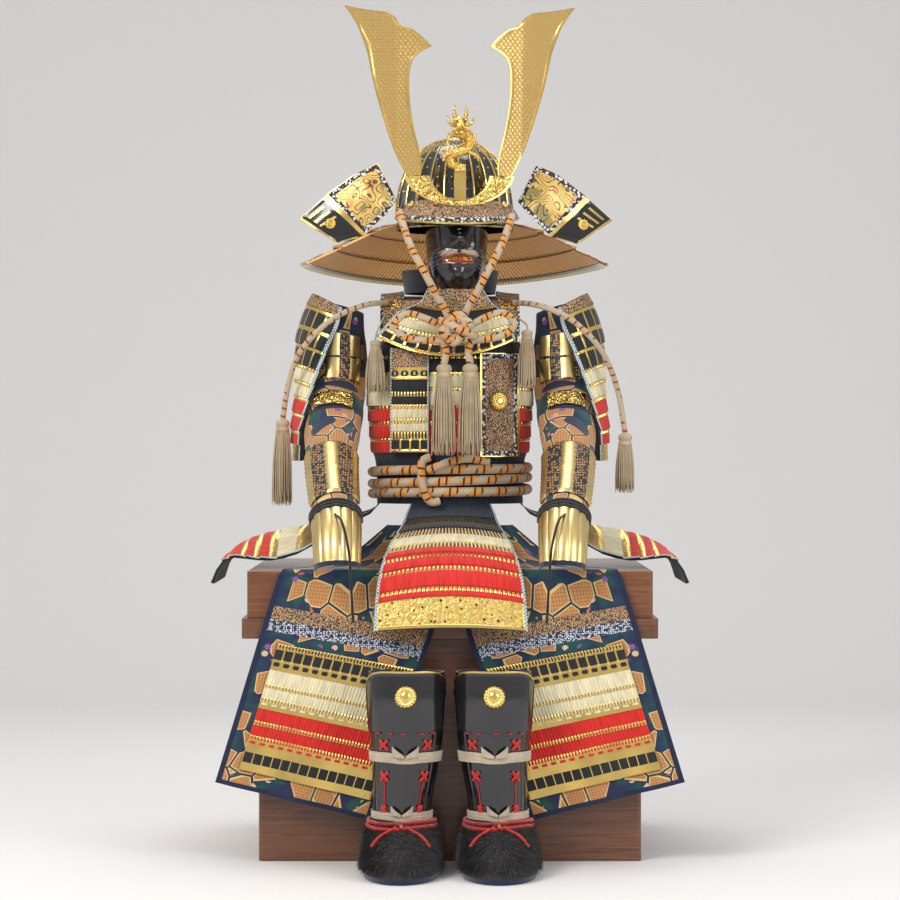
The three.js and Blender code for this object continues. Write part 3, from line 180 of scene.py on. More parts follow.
def wood(name, dark, light, rough, grain=(0.9, 9.0, 22.0)):
    material, tree, shader = finish_of(name, light, rough, coat=0.18)
    where = place(tree, scale=grain)
    wave = noise(tree, where, 2.2, 4.0, 0.6)
    fine = noise(tree, place(tree, scale=(4.0, 60.0, 150.0)), 3.0, 4.0, 0.7)
    bands = op(tree, "FRACT", op(tree, "MULTIPLY", wave, 5.5))
    tone = op(tree, "MULTIPLY_ADD", fine, 0.55, op(tree, "MULTIPLY", bands, 0.14))
    colour = ramp(tree, tone, [(0.18, dark), (0.42, tuple(0.5 * (d + l) for d, l in zip(dark, light))),
        (0.62, light)])
    tint(tree, shader, colour)
    bump(tree, shader, fine, 0.0003, 0.5)
    return material


def dress(node, material):
    """Gives a CAD node its finish and softly rounded edges; its mesh and place stay as they are."""
    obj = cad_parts[node]
    obj.data.materials.clear()
    obj.data.materials.append(material)
    weld = obj.modifiers.new("weld", "WELD")
    weld.merge_threshold = 0.00002
    edge = obj.modifiers.new("edge", "BEVEL")
    edge.width = 0.0012
    edge.segments = 2
    edge.limit_method = "ANGLE"
    edge.angle_limit = math.radians(50)


dress("chest_box", wood("walnut_veneer", (0.075, 0.025, 0.011), (0.25, 0.098, 0.042), 0.36))
dress("chest_lid", wood("walnut_lid", (0.095, 0.028, 0.010), (0.31, 0.112, 0.041), 0.32))

# Wooden stand inside the armour: base, post, shoulder bar and head block of plain pale wood.
dress("stand", wood("stand_wood", (0.34, 0.22, 0.12), (0.55, 0.41, 0.27), 0.6))


# Cuirass: rows of small lacquered plates laced with silk braid, cream above and red below, worn round
# the chest; two leather shoulder straps carry it. The lacing runs up and down as close flat braids.
def smooth(keys, values, soft=0.07):
    """A table's column as an easy curve instead of straight lines."""
    at = np.linspace(keys[0], keys[-1], 401)
    line = np.interp(at, keys, values)
    width = int(401 * soft) | 1
    padded = np.pad(line, width // 2, mode="reflect", reflect_type="odd")
    line = np.convolve(padded, np.ones(width) / width, "valid")
    return lambda t: np.interp(t, at, line)


def columns(table, names, key=0, soft=0.07):
    """The columns of a table as functions of its first one."""
    rows = sorted(table, key=lambda row: row[key])
    keys = [row[key] for row in rows]
    return {name: smooth(keys, [row[i + 1] for row in rows], soft) for i, name in enumerate(names)}


def even(count):
    return np.linspace(0, 1, count)


def run_of(line):
    """Length along a line of points, up to each of them."""
    return np.concatenate([[0], np.cumsum(np.linalg.norm(np.diff(line, axis=0), axis=1))])


def points(x, y, z):
    return np.stack(np.broadcast_arrays(x, y, z), axis=-1).astype(float)


def inset(share):
    """How far in from the nearer edge."""
    return np.minimum(share, 1 - share)


def hump(share):
    return np.sin(math.pi * share)


def held(value):
    return np.clip(value, 0, 1)


def outward(surface, u, v, closed):
    step = 2e-3
    low, high = (u - step, u + step) if closed else (held(u - step), held(u + step))
    along = surface(high, v) - surface(low, v)
    down = surface(u, held(v + step)) - surface(u, held(v - step))
    normal = np.cross(along, down)
    return normal / np.maximum(np.linalg.norm(normal, axis=-1, keepdims=True), 1e-9)


def net(rows, cols, first=0, back=False):
    """Faces over rows of points; those of a back look the other way."""
    low = [first + r * cols + c for r in range(rows - 1) for c in range(cols - 1)]
    if back:
        return [(a, a + cols, a + cols + 1, a + 1) for a in low]
    return [(a, a + 1, a + cols + 1, a + cols) for a in low]


def zipped(first, second):
    """Triangles between two edges, each a list of (key, vertex), whose points need not match."""
    i = j = 0
    faces = []
    while i < len(first) - 1 or j < len(second) - 1:
        if j >= len(second) - 1 or (i < len(first) - 1 and first[i + 1][0] <= second[j + 1][0]):
            faces.append((first[i + 1][1], first[i][1], second[j][1]))
            i += 1
        else:
            faces.append((first[i][1], second[j][1], second[j + 1][1]))
            j += 1
    return faces


def piece(name, verts, faces, materials, index=None, uv=None, sharp=40):
    """A plain mesh in millimetres becomes a piece that rides on its body."""
    mesh = bpy.data.meshes.new(name)
    mesh.from_pydata((np.asarray(verts, float) * MM).tolist(), [],
        [tuple(int(i) for i in f) for f in faces])
    for material in materials:
        mesh.materials.append(material)
    if index is not None:
        mesh.polygons.foreach_set("material_index", np.asarray(index, np.int32))
    if uv is not None:
        layer = mesh.uv_layers.new(name="uv")
        corner = np.zeros(len(mesh.loops), np.int32)
        mesh.loops.foreach_get("vertex_index", corner)
        layer.data.foreach_set("uv", (np.asarray(uv, float) * MM)[corner].ravel())
    shape = bmesh.new()
    shape.from_mesh(mesh)
    bmesh.ops.remove_doubles(shape, verts=shape.verts, dist=2e-6)
    loose = [v for v in shape.verts if not v.link_faces]
    bmesh.ops.delete(shape, geom=loose, context="VERTS")
    if shape.calc_volume(signed=True) < 0:
        bmesh.ops.reverse_faces(shape, faces=shape.faces)
    shape.to_mesh(mesh)
    shape.free()
    mesh.shade_smooth()
    mesh.set_sharp_from_angle(angle=math.radians(sharp))
    obj = add(name, mesh)
    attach(obj, "root")
    return obj


def shell(name, surface, us, vs, thick, materials, out=1, start=0.0, raised=None, back=None, closed=False,
          paint=None, inside=0, sharp=40, way=None):
    """A wall of cloth, leather or plate: the outer face follows the surface and carries the relief.
    It is thick at right angles to the surface, or else along one way."""
    def facing(u, v):
        return outward(surface, u, v, closed) * out if way is None else np.array(way, float)

    us, vs = np.asarray(us, float), np.asarray(vs, float)
    u, v = np.meshgrid(us, vs)
    relief = raised(u, v) if raised else 0 * u
    outer = surface(u, v) + facing(u, v) * (start + thick + relief)[..., None]
    back_us, back_vs = [even(b) if isinstance(b, int) else np.asarray(b, float) for b in (back or (us, vs))]
    bu, bv = np.meshgrid(back_us, back_vs)
    inner = surface(bu, bv) + facing(bu, bv) * start
    size = run_of(outer[len(vs) // 2])[-1], run_of(outer[:, len(us) // 2])[-1]
    verts = np.concatenate([outer.reshape(-1, 3), inner.reshape(-1, 3)])
    uv = np.concatenate([np.stack([u * size[0], v * size[1]], -1).reshape(-1, 2),
        np.stack([bu * size[0], bv * size[1]], -1).reshape(-1, 2)])
    rows, cols = len(vs), len(us)
    first = rows * cols
    at = lambda r, c: r * cols + c
    under = lambda r, c: first + r * len(back_us) + c
    faces = net(rows, cols)
    if paint:
        cu, cv = np.meshgrid((us[:-1] + us[1:]) / 2, (vs[:-1] + vs[1:]) / 2)
        index = paint(cu, cv).astype(int).ravel().tolist()
    else:
        index = [0] * len(faces)
    rest = net(len(back_vs), len(back_us), first, True)
    for r, s, turn in ((0, 0, False), (rows - 1, len(back_vs) - 1, True)):
        strip = zipped([(t, at(r, c)) for c, t in enumerate(us)],
            [(t, under(s, c)) for c, t in enumerate(back_us)])
        rest += [f[::-1] for f in strip] if turn else strip
    if not closed:
        for c, s, turn in ((0, 0, True), (cols - 1, len(back_us) - 1, False)):
            strip = zipped([(t, at(r, c)) for r, t in enumerate(vs)],
                [(t, under(r, s)) for r, t in enumerate(back_vs)])
            rest += [f[::-1] for f in strip] if turn else strip
    return piece(name, verts, faces + rest, materials, index + [inside] * len(rest), uv, sharp)


ACROSS = 6
PROFILES = {
    "lace": (0.0, 0.12, 0.5, 0.88), "teeth": (0.0, 0.2, 0.5, 0.8), "plain": (0.0, 0.5),
    "squares": (0.0, 0.1, 0.2, 0.5, 0.8, 0.9), "print": (0.0, 0.1, 0.3, 0.5, 0.7, 0.9),
    "rim": (0.0, 0.15, 0.85),
    "crosses": (0.0, 0.15, 0.35, 0.5, 0.65, 0.85), "dots": (0.0, 0.2, 0.4, 0.6, 0.8),
    "rings": (0.0, 0.15, 0.3, 0.5, 0.7, 0.85), "bars": (0.0, 0.06, 0.5, 0.94),
}


def laced(name, surface, lames, finishes, count, thick, out, start=0.0, lift=2.4, unit=3, edge=0, sharp=35,
          arch=0.0, inside="black", closed=False, back_columns=None):
    """Rows of plates with their lacing. A lame is a list of bands (height, kind, finish, second finish);
    count is how many braids lie side by side, and unit how many braids wide a square or ring is."""
    names = list(finishes)
    total = sum(band[0] for lame in lames for band in lame)
    vs, kinds, local, lifts, first, second = [], [], [], [], [], []
    at = 0.0
    for lame in lames:
        height = sum(band[0] for band in lame)
        done = 0.0
        for share, kind, colour, *other in lame:
            steps = list(PROFILES[kind]) + [1.0]
            for t0, t1 in zip(steps[:-1], steps[1:]):
                vs.append(at + (done + share * t0) / total)
                kinds.append(kind)
                local.append((t0, t1))
                lifts.append(lift * (done + share * t0) / height)
                first.append(names.index(colour))
                second.append(names.index(other[0] if other else colour))
            done += share
        at += height / total
        vs.append(at - 0.0006)
        kinds.append("plain")
        local.append((1.0, 1.0))
        lifts.append(lift)
        first.append(first[-1])
        second.append(second[-1])
    vs[-1] = 1.0
    vs = np.array(vs)
    cols = count * ACROSS
    us = even(cols + 1)
    column = np.arange(cols + 1)
    fu = (column % ACROSS) / ACROSS
    rib = np.sqrt(np.sin(np.pi * fu))
    tooth = np.interp(fu, (0, 0.17, 0.34, 0.66, 0.83, 1), (0, 0.25, 1, 1, 0.25, 0))
    wide = (column % (ACROSS * unit)) / (ACROSS * unit)
    relief = np.zeros((len(vs), cols + 1))
    for r, (kind, (t, _)) in enumerate(zip(kinds, local)):
        ease = 1.0 if 0 < t < 1 else 0.35
        if kind == "lace":
            relief[r] = 0.9 * rib * ease
        elif kind == "teeth":
            relief[r] = 1.3 * tooth * (1.0 if 0.1 < t < 0.9 else 0.2)
        elif kind in ("squares", "bars"):
            relief[r] = np.where((wide < 0.17) | (wide > 0.99), 0.9, 0.0) * (1.0 if t > 0 else 0.4)
        elif kind == "rim":
            relief[r] = 1.2 * ease
    if edge:
        relief[:, :edge + 1] = relief[:, cols - edge:] = 0.9
        relief[:, 0] = relief[:, cols] = 0.2
    relief += np.array(lifts)[:, None]
    centre = np.arange(cols) + 0.5
    fc = (centre % ACROSS) / ACROSS
    wc = (centre % (ACROSS * unit)) / (ACROSS * unit)
    index = np.zeros((len(vs) - 1, cols), int)
    for r in range(len(vs) - 1):
        kind, (t0, t1) = kinds[r], local[r]
        t = (t0 + t1) / 2
        a, b = first[r], second[r]
        row = np.full(cols, a)
        if kind == "teeth":
            row = np.where((fc > 0.2) & (fc < 0.8) & (t < 0.98), a, b)
        elif kind == "squares":
            row = np.where((wc > 0.18) & (wc < 0.96) & (t > 0.1) & (t < 0.9), a, b)
        elif kind == "bars":
            row = np.where(wc > 0.18, a, b)
        elif kind == "rings":
            away = np.hypot(wc - 0.5, (t - 0.5))
            row = np.where((away < 0.4) & (away > 0.17), a, b)
        elif kind == "dots":
            row = np.where(np.hypot(wc - 0.5, t - 0.5) < 0.36, a, b)
        elif kind == "crosses":
            notch = (np.abs(wc - 0.5) < 0.3) & (np.abs(t - 0.5) < 0.3)
            corners = (np.abs(wc - 0.5) < 0.42) & (np.abs(wc - 0.5) > 0.12) & (t > 0.1) & (t < 0.9)
            row = np.where(notch | corners, a, b)
        index[r] = row
    if edge and "braid" in names:
        index[:, :edge] = index[:, cols - edge:] = names.index("braid")

    def arched(u, v):
        """The rows rise to the middle of the panel by arch times their height."""
        bow = arch * (1 - (2 * u - 1) ** 2) * held(v * (1 - v) * 4)
        return surface(u, held(v - bow))

    back_us = even((back_columns or max(8, count // 2)) + 1)
    back_vs = np.linspace(vs[0], vs[-1], 15)
    return shell(name, arched, us, vs, thick, [finishes[n] for n in names], out, start, lambda u, v: relief,
        (back_us, back_vs), closed, lambda u, v: index, names.index(inside), sharp)


def lacing(name, colour, rough=0.75, sheen=0.25):
    """Flat silk braid: small slanting plaits along each rib, a little uneven in tone, with painted shade in
    the hollows of the plaits and painted highlight on their crests.
    """
    material, tree, shader = finish_of(name, colour, rough, sheen=sheen, specular=0.3)
    where = place(tree, "UV", (1, 1, 1))
    plait = make(tree, "ShaderNodeTexWave", {"Vector": where, "Scale": 260.0, "Distortion": 1.5,
        "Detail": 1.0}, bands_direction="DIAGONAL").outputs["Fac"]
    tone = noise(tree, place(tree, "UV", (90, 14, 1)), 2.0, 2.0)
    # Tone: part varies at random, part follows the plaits as painted shade and highlight.
    shade = op(tree, "MULTIPLY_ADD", tone, 0.7, op(tree, "MULTIPLY", plait, 0.3))
    dark = toned(colour, 0.6)
    light = tuple(min(1.0, 1.12 * c + 0.01) for c in colour)
    tint(tree, shader, ramp(tree, shade, [(0.25, dark), (0.7, light)]))
    bump(tree, shader, plait, 0.0004, 0.6)
    return material


def cells(tree, where, scale, random=1.0, **settings):
    values = {"Vector": where, "Scale": scale, "Randomness": random}
    return make(tree, "ShaderNodeTexVoronoi", values, **settings)


def gilding(name, emboss=None, rough=0.24, colour=(0.80, 0.56, 0.17)):
    """Gilt copper sheet, plain or embossed: scrolls, fine punched ground, or openwork pierced with holes.
    """
    material, tree, shader = finish_of(name, colour, rough, metal=1.0)
    where = place(tree)
    tone = noise(tree, where, 30.0, 3.0)
    tint(tree, shader, mix(tree, tone, toned(colour, 0.82), toned(colour, 1.15)))
    tree.links.new(op(tree, "MULTIPLY_ADD", tone, 0.14, rough - 0.05), shader.inputs["Roughness"])
    if emboss == "scrolls":
        swirl = noise(tree, where, 75.0, 1.5, 0.4)
        line = op(tree, "FRACT", op(tree, "MULTIPLY", swirl, 7.0))
        height = op(tree, "ABSOLUTE", op(tree, "SUBTRACT", line, 0.5))
        bump(tree, shader, height, 0.0028)
    elif emboss == "punched":
        dots = cells(tree, where, 330.0).outputs["Distance"]
        bump(tree, shader, dots, 0.0009)
    elif emboss == "holes":
        ground = noise(tree, where, 190.0, 3.0, 0.65)
        dots = cells(tree, where, 85.0, 0.9)
        hole = op(tree, "LESS_THAN", dots.outputs["Distance"], 0.18)
        gold = ramp(tree, ground, [(0.3, toned(colour, 0.55)), (0.6, colour)])
        tint(tree, shader, mix(tree, hole, gold, (0.02, 0.012, 0.005)))
        tree.links.new(op(tree, "SUBTRACT", 1.0, hole), shader.inputs["Metallic"])
        bump(tree, shader, op(tree, "SUBTRACT", ground, hole), 0.0016)
    else:
        bump(tree, shader, noise(tree, where, 14.0, 2.0), 0.0008, 0.5)
    return material


def lacquer(name, colour=(0.006, 0.006, 0.007), rough=0.09):
    """Urushi lacquer on iron or hide: deep gloss over a very slightly uneven ground."""
    material, tree, shader = finish_of(name, colour, rough, coat=0.6)
    where = place(tree)
    tone = noise(tree, where, 9.0, 2.0)
    tree.links.new(op(tree, "MULTIPLY_ADD", tone, 0.08, rough), shader.inputs["Roughness"])
    tint(tree, shader, mix(tree, tone, colour, toned(colour, 2.2)))
    bump(tree, shader, noise(tree, where, 22.0, 1.0), 0.0005, 0.3)
    return material


def printed_leather(name):
    """Smoked tan leather printed all over with small dark leaves and a few red flowers."""
    material, tree, shader = finish_of(name, (0.55, 0.33, 0.15), 0.62, sheen=0.1)
    where = place(tree)
    leaf = cells(tree, where, 520.0).outputs["Distance"]
    vein = noise(tree, where, 420.0, 2.0, 0.6)
    mark = op(tree, "GREATER_THAN", op(tree, "ADD", leaf, op(tree, "MULTIPLY", vein, 0.9)), 0.92)
    flower = cells(tree, where, 75.0)
    bloom = op(tree, "LESS_THAN", flower.outputs["Distance"], 0.2)
    ground = mix(tree, noise(tree, where, 40.0), (0.42, 0.24, 0.10), (0.66, 0.42, 0.21))
    leaves = mix(tree, mark, ground, (0.045, 0.03, 0.022))
    tint(tree, shader, mix(tree, op(tree, "MULTIPLY", bloom, 0.7), leaves, (0.5, 0.09, 0.04)))
    bump(tree, shader, noise(tree, where, 600.0, 2.0), 0.0002, 0.5)
    return material


def banded(name, first, second, step, slant=0.0, rough=0.7):
    """Braid or stitching whose two colours alternate along it, or in small chevrons."""
    material, tree, shader = finish_of(name, first, rough, sheen=0.2)
    where = axes(tree, place(tree, "UV"))
    zig = op(tree, "PINGPONG", where[0], 0.0022)
    along = op(tree, "MULTIPLY_ADD", zig, slant, where[1])
    mark = op(tree, "LESS_THAN", op(tree, "FRACT", op(tree, "DIVIDE", along, step)), 0.5)
    tint(tree, shader, mix(tree, mark, first, second))
    bump(tree, shader, mark, 0.0003, 0.6)
    return material


def chevrons(name, first, second, step):
    """Small chevrons read from the place of the surface, for edgings that run any way."""
    material, tree, shader = finish_of(name, first, 0.7, sheen=0.15)
    where = place(tree)
    dots = cells(tree, where, 1 / step, distance="CHEBYCHEV")
    mark = op(tree, "GREATER_THAN", dots.outputs["Distance"], 0.36)
    tint(tree, shader, mix(tree, mark, first, second))
    bump(tree, shader, mark, 0.0003, 0.6)
    return material


gilt = gilding("gilt_plain")
gilt_scrolls = gilding("gilt_scrolls", "scrolls")
gilt_open = gilding("gilt_openwork", "holes", 0.3)
black = lacquer("black_lacquer")
red_lace = lacing("red_lacing", (0.66, 0.013, 0.006))
cream_lace = lacing("cream_lacing", (0.78, 0.70, 0.45))
black_lace = lacing("black_lacing", (0.010, 0.012, 0.014))
navy_lace = lacing("navy_lacing", (0.008, 0.017, 0.035))
leather = printed_leather("printed_leather")
edge_braid = banded("teal_white_braid", (0.70, 0.74, 0.68), (0.02, 0.12, 0.16), 0.0052, 2.2)
black_white = chevrons("black_white_stitching", (0.62, 0.62, 0.62), (0.012, 0.012, 0.014), 0.0052)
LACED = {"black": black, "gilt": gilt, "red": red_lace, "cream": cream_lace, "dark": black_lace,
    "navy": navy_lace, "open": gilt_open, "braid": edge_braid, "leather": leather}

BODY_Y = 5
BODY_POWER = 2.35
BODY_RINGS = [
    # z, half width, half depth
    (520, 112, 84), (598, 113, 85), (612, 123, 92), (700, 130, 97), (760, 129, 96), (800, 122, 91),
    (830, 110, 83), (850, 98, 76),
]
body_ring = columns(BODY_RINGS, ("wide", "deep"), soft=0.05)


def body_point(angle, z, out):
    wide, deep = body_ring["wide"](z) + out, body_ring["deep"](z) + out
    s, c = np.sin(angle), np.cos(angle)
    k = (np.abs(s) ** BODY_POWER + np.abs(c) ** BODY_POWER) ** (-1 / BODY_POWER)
    return points(wide * k * s, BODY_Y - deep * k * c, z)


def body_front(x, z, out):
    wide, deep = body_ring["wide"](z) + out, body_ring["deep"](z) + out
    share = np.minimum(0.999, np.abs(x) / wide)
    return points(x, BODY_Y - deep * (1 - share ** BODY_POWER) ** (1 / BODY_POWER), z)


def cuirass_part(name, top, bottom, lames, finishes, hole=True):
    """One height of the cuirass, cut away under the arms."""
    def surface(u, v):
        z = top + (bottom - top) * v
        return body_point(math.tau * u, z, -3)
    obj = laced(name, surface, lames, finishes, 96, 3.0, -1, lift=2.2, closed=True, back_columns=48)
    if hole:
        for side in (-1, 1):
            cutter = bmesh.new()
            bmesh.ops.create_cone(cutter, cap_ends=True, segments=40, radius1=0.062, radius2=0.062,
                depth=0.1)
            bmesh.ops.rotate(cutter, verts=cutter.verts, cent=(0, 0, 0),
                matrix=Vector((0, 0, 1)).rotation_difference(Vector((1, 0, 0))).to_matrix())
            bmesh.ops.translate(cutter, verts=cutter.verts, vec=(side * 0.116, 0.005, 0.806))
            mesh = bpy.data.meshes.new("arm_opening")
            cutter.to_mesh(mesh)
            cutter.free()
            tool = add("arm_opening", mesh)
            clip = obj.modifiers.new("arm", "BOOLEAN")
            clip.operation = "DIFFERENCE"
            clip.solver = "EXACT"
            clip.object = tool
            settle(obj)
            bpy.data.objects.remove(tool)
    return obj


def settle(obj):
    """Turns a piece's modifiers into its mesh."""
    evaluated = obj.evaluated_get(bpy.context.evaluated_depsgraph_get())
    mesh = bpy.data.meshes.new_from_object(evaluated)
    obj.modifiers.clear()
    old = obj.data
    obj.data = mesh
    mesh.name = old.name
    bpy.data.meshes.remove(old)


def join(name, parts):
    """Several meshes become one piece under the first one's name; finishes are kept."""
    shape = bmesh.new()
    materials = []
    for part in parts:
        mesh = part.data
        slots = []
        for material in mesh.materials:
            if material not in materials:
                materials.append(material)
            slots.append(materials.index(material))
        before = len(shape.faces)
        shape.from_mesh(mesh)
        shape.faces.ensure_lookup_table()
        for face in shape.faces[before:]:
            face.material_index = slots[face.material_index] if slots else 0
    mesh = bpy.data.meshes.new(name)
    for material in materials:
        mesh.materials.append(material)
    shape.to_mesh(mesh)
    shape.free()
    for part in parts:
        bpy.data.objects.remove(part)
    obj = add(name, mesh)
    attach(obj, "root")
    return obj


STRAP = {"y": 5, "z": 786, "half": 74, "from": 72, "to": 108, "slope": 0.12}


def strap(side):
    def surface(u, v):
        a = math.pi * (0.04 + 0.92 * v)
        x = STRAP["from"] + (STRAP["to"] - STRAP["from"]) * u
        drop = STRAP["slope"] * (x - STRAP["from"])
        return points(side * x, STRAP["y"] - STRAP["half"] * np.cos(a),
            STRAP["z"] + STRAP["half"] * np.sin(a) - drop)

    def paint(u, v):
        edging = (u < 0.12) | (u > 0.88)
        fitting = (np.abs(v - 0.24) < 0.045) | (np.abs(v - 0.76) < 0.045)
        return np.where(fitting, 2, np.where(edging, 1, 0))
    us = np.array([0, 0.02, 0.12, 0.2, 0.35, 0.5, 0.65, 0.8, 0.88, 0.98, 1])
    raised = lambda u, v: np.where((u < 0.13) | (u > 0.87), 0.6, 0.0) + np.where(np.abs(v - 0.24) < 0.045,
        1.2, 0.0)
    return shell(f"strap_{side}", surface, us, even(61), 4, [leather, black_white, gilt_scrolls], side,
        raised=raised, back=(us[::2], even(31)), paint=paint)


cuirass = join("cuirass_laced", [
    cuirass_part("cuirass_rows", 846, 531, [
    [(46, "plain", "leather")],
    [(14, "plain", "leather"), (4.5, "teeth", "gilt", "dark"), (20, "lace", "dark")],
    [(6, "teeth", "gilt", "dark"), (20, "lace", "dark")],
    [(6, "teeth", "gilt", "cream"), (18, "lace", "cream")],
    [(6, "teeth", "gilt", "cream"), (22, "lace", "cream")],
    [(7, "teeth", "gilt", "red"), (17, "lace", "red")],
    [(7, "teeth", "gilt", "red"), (19, "lace", "red")],
    [(6, "teeth", "gilt", "red"), (16, "lace", "red")],
    [(60, "lace", "navy")],
    [(21, "lace", "navy")],
    ], LACED),
    strap(-1), strap(1),
])
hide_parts("cuirass")


# Two plates that cover the fastenings on the chest. The one on the left hand of the picture is laced in
# rows like the cuirass; the other is one leather-covered plate with a gilt flower.
def chest_plate(left, right, top, bottom):
    def surface(u, v):
        z = top + (bottom - top) * v
        x = left + (right - left) * u
        place_ = body_front(x, np.maximum(z, 640), 3.2)
        return points(place_[..., 0], place_[..., 1], z)
    return surface


laced_plate = laced("chest_plate_rows", chest_plate(-91, -32, 772, 611), [
    [(30, "plain", "leather"), (3, "rim", "gilt"), (14, "rings", "navy", "gilt"), (3, "rim", "gilt")],
    [(18, "lace", "dark")],
    [(8, "teeth", "gilt", "dark"), (12, "lace", "dark")],
    [(8, "teeth", "gilt", "cream"), (14, "lace", "cream")],
    [(9, "teeth", "gilt", "cream"), (12, "lace", "cream")],
    [(12, "teeth", "gilt", "navy"), (18, "squares", "dark", "gilt"), (3, "rim", "gilt")],
], LACED, 12, 2.6, -1, lift=1.5, edge=3)
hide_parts("chest_plate_laced")


def edged(us, width, at=(1, 2)):
    """Paint for a panel with a stitched edging: plain inside, edging next, a narrow rim outside."""
    def paint(u, v):
        rim = np.minimum(inset(u) * us[0], inset(v) * us[1])
        return np.where(rim < width[0], at[1], np.where(rim < width[1], at[0], 0))
    return paint


def boss(name, centre, facing, radius, petals=16, height=5.0, finish=None):
    """Gilt flower: a ring of petals round a domed middle, nailed on."""
    facing = Vector(facing).normalized()
    side = facing.orthogonal().normalized()
    other = facing.cross(side)
    rings = [(0.0, 0.75), (0.18, 0.9), (0.34, 0.9), (0.44, 0.55), (0.52, 0.55), (0.6, 0.95), (0.8, 0.9),
        (0.95, 0.5), (1.0, 0.1), (0.97, -0.25)]
    count = petals * 4
    verts = [Vector(centre) + facing * height * 0.9]
    for share, high in rings[1:]:
        for k in range(count):
            a = math.tau * k / count
            wave = 0.5 + 0.5 * math.cos(petals * a)
            r = radius * share * (1 + (0.06 * (wave - 0.5) if share > 0.6 else 0))
            h = height * high * (0.75 + 0.25 * wave if share > 0.55 else 1.0)
            verts.append(Vector(centre) + side * r * math.cos(a) + other * r * math.sin(a) + facing * h)
    faces = [(0, 1 + k, 1 + (k + 1) % count) for k in range(count)]
    for r in range(len(rings) - 2):
        low = 1 + r * count
        for k in range(count):
            n = (k + 1) % count
            faces.append((low + k, low + count + k, low + count + n, low + n))
    last = 1 + (len(rings) - 2) * count
    faces.append(tuple(range(last, last + count)))
    return piece(name, verts, faces, [finish or gilt], sharp=60)


plate_us = np.concatenate([[0, 0.02, 0.05, 0.14], np.linspace(0.2, 0.8, 7), [0.86, 0.95, 0.98, 1]])
plate_vs = np.concatenate([[0, 0.008, 0.02, 0.055], np.linspace(0.1, 0.9, 17), [0.945, 0.98, 0.992, 1]])
rim_lift = lambda u, v: np.where((inset(u) < 0.03) | (inset(v) < 0.012), 1.0, 0.0)
leather_plate = join("chest_plate_printed", [
    shell("leather_plate", chest_plate(46, 106, 764, 604), plate_us, plate_vs, 2.4,
    [leather, black_white, gilt], -1,
    raised=rim_lift, back=(plate_us[::2], plate_vs[::2]), paint=edged((60, 160), (2.2, 8))),
    boss("plate_boss", (76, -88, 690), (0.32, -1, 0.05), 15, 16, 6),
])
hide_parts("chest_plate_leather")

# Neck plate: a bib of laced rows under the chin, printed leather above and enamelled squares below.
NECK_PLATE = columns([
    # v, z, left, right, y
    (0, 862, -34, 50, -106), (0.2, 836, -44, 62, -112), (0.4, 815, -80, 86, -108),
    (1, 758, -112, 100, -112),
], ("z", "left", "right", "y"), soft=0.04)


def neck_surface(u, v):
    x = NECK_PLATE["left"](v) + (NECK_PLATE["right"](v) - NECK_PLATE["left"](v)) * u
    sag = 30 * v * (np.abs(u - 0.52) * 2) ** 2
    return points(x, NECK_PLATE["y"](v) + x * x / 330, NECK_PLATE["z"](v) + sag)


neck_plate = laced("neck_plate_rows", neck_surface, [
    [(24, "print", "leather"), (4, "teeth", "gilt", "dark")],
    [(14, "lace", "dark")],
    [(6, "teeth", "gilt", "cream"), (16, "lace", "cream")],
    [(7, "teeth", "gilt", "cream"), (8, "rings", "navy", "cream")],
    [(3, "rim", "gilt"), (15, "squares", "dark", "gilt"), (4, "rim", "gilt")],
], LACED, 33, 2.6, -1, lift=2.0, edge=4)
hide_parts("neck_plate")


# Collar of thick navy cotton inside the neck of the cuirass, stitched in rows.
def cloth(name, colour, weave=0.0011, rough=0.85, light=1.6, sheen=0.35):
    material, tree, shader = finish_of(name, colour, rough, sheen=sheen, specular=0.2)
    where = axes(tree, place(tree, "UV"))
    warp, weft = [op(tree, "SINE", op(tree, "MULTIPLY", where[i], math.tau / weave)) for i in (0, 1)]
    weave_ = op(tree, "MULTIPLY", warp, weft)
    tone = noise(tree, place(tree), 60.0, 3.0)
    tint(tree, shader, mix(tree, tone, toned(colour, 0.65), toned(colour, light)))
    bump(tree, shader, weave_, 0.00022, 0.7)
    return material


navy = cloth("navy_cotton", (0.011, 0.018, 0.048))


def collar_surface(u, v):
    a = np.radians(28 + 304 * u)
    flare = 1 + 0.08 * v
    return points(68.3 * flare * np.sin(a), BODY_Y - 6 - 60 * flare * np.cos(a), 860 + 36 * v)


collar = shell("collar_cloth", collar_surface, even(73), even(17), 2.8,
    [cloth("collar_cotton", (0.006, 0.008, 0.016))], 1,
    raised=lambda u, v: 0.35 * np.cos(v * 6 * 2 * math.pi) + 0.4 * np.sin(11 * u) * v,
    back=(37, 5))
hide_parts("collar")


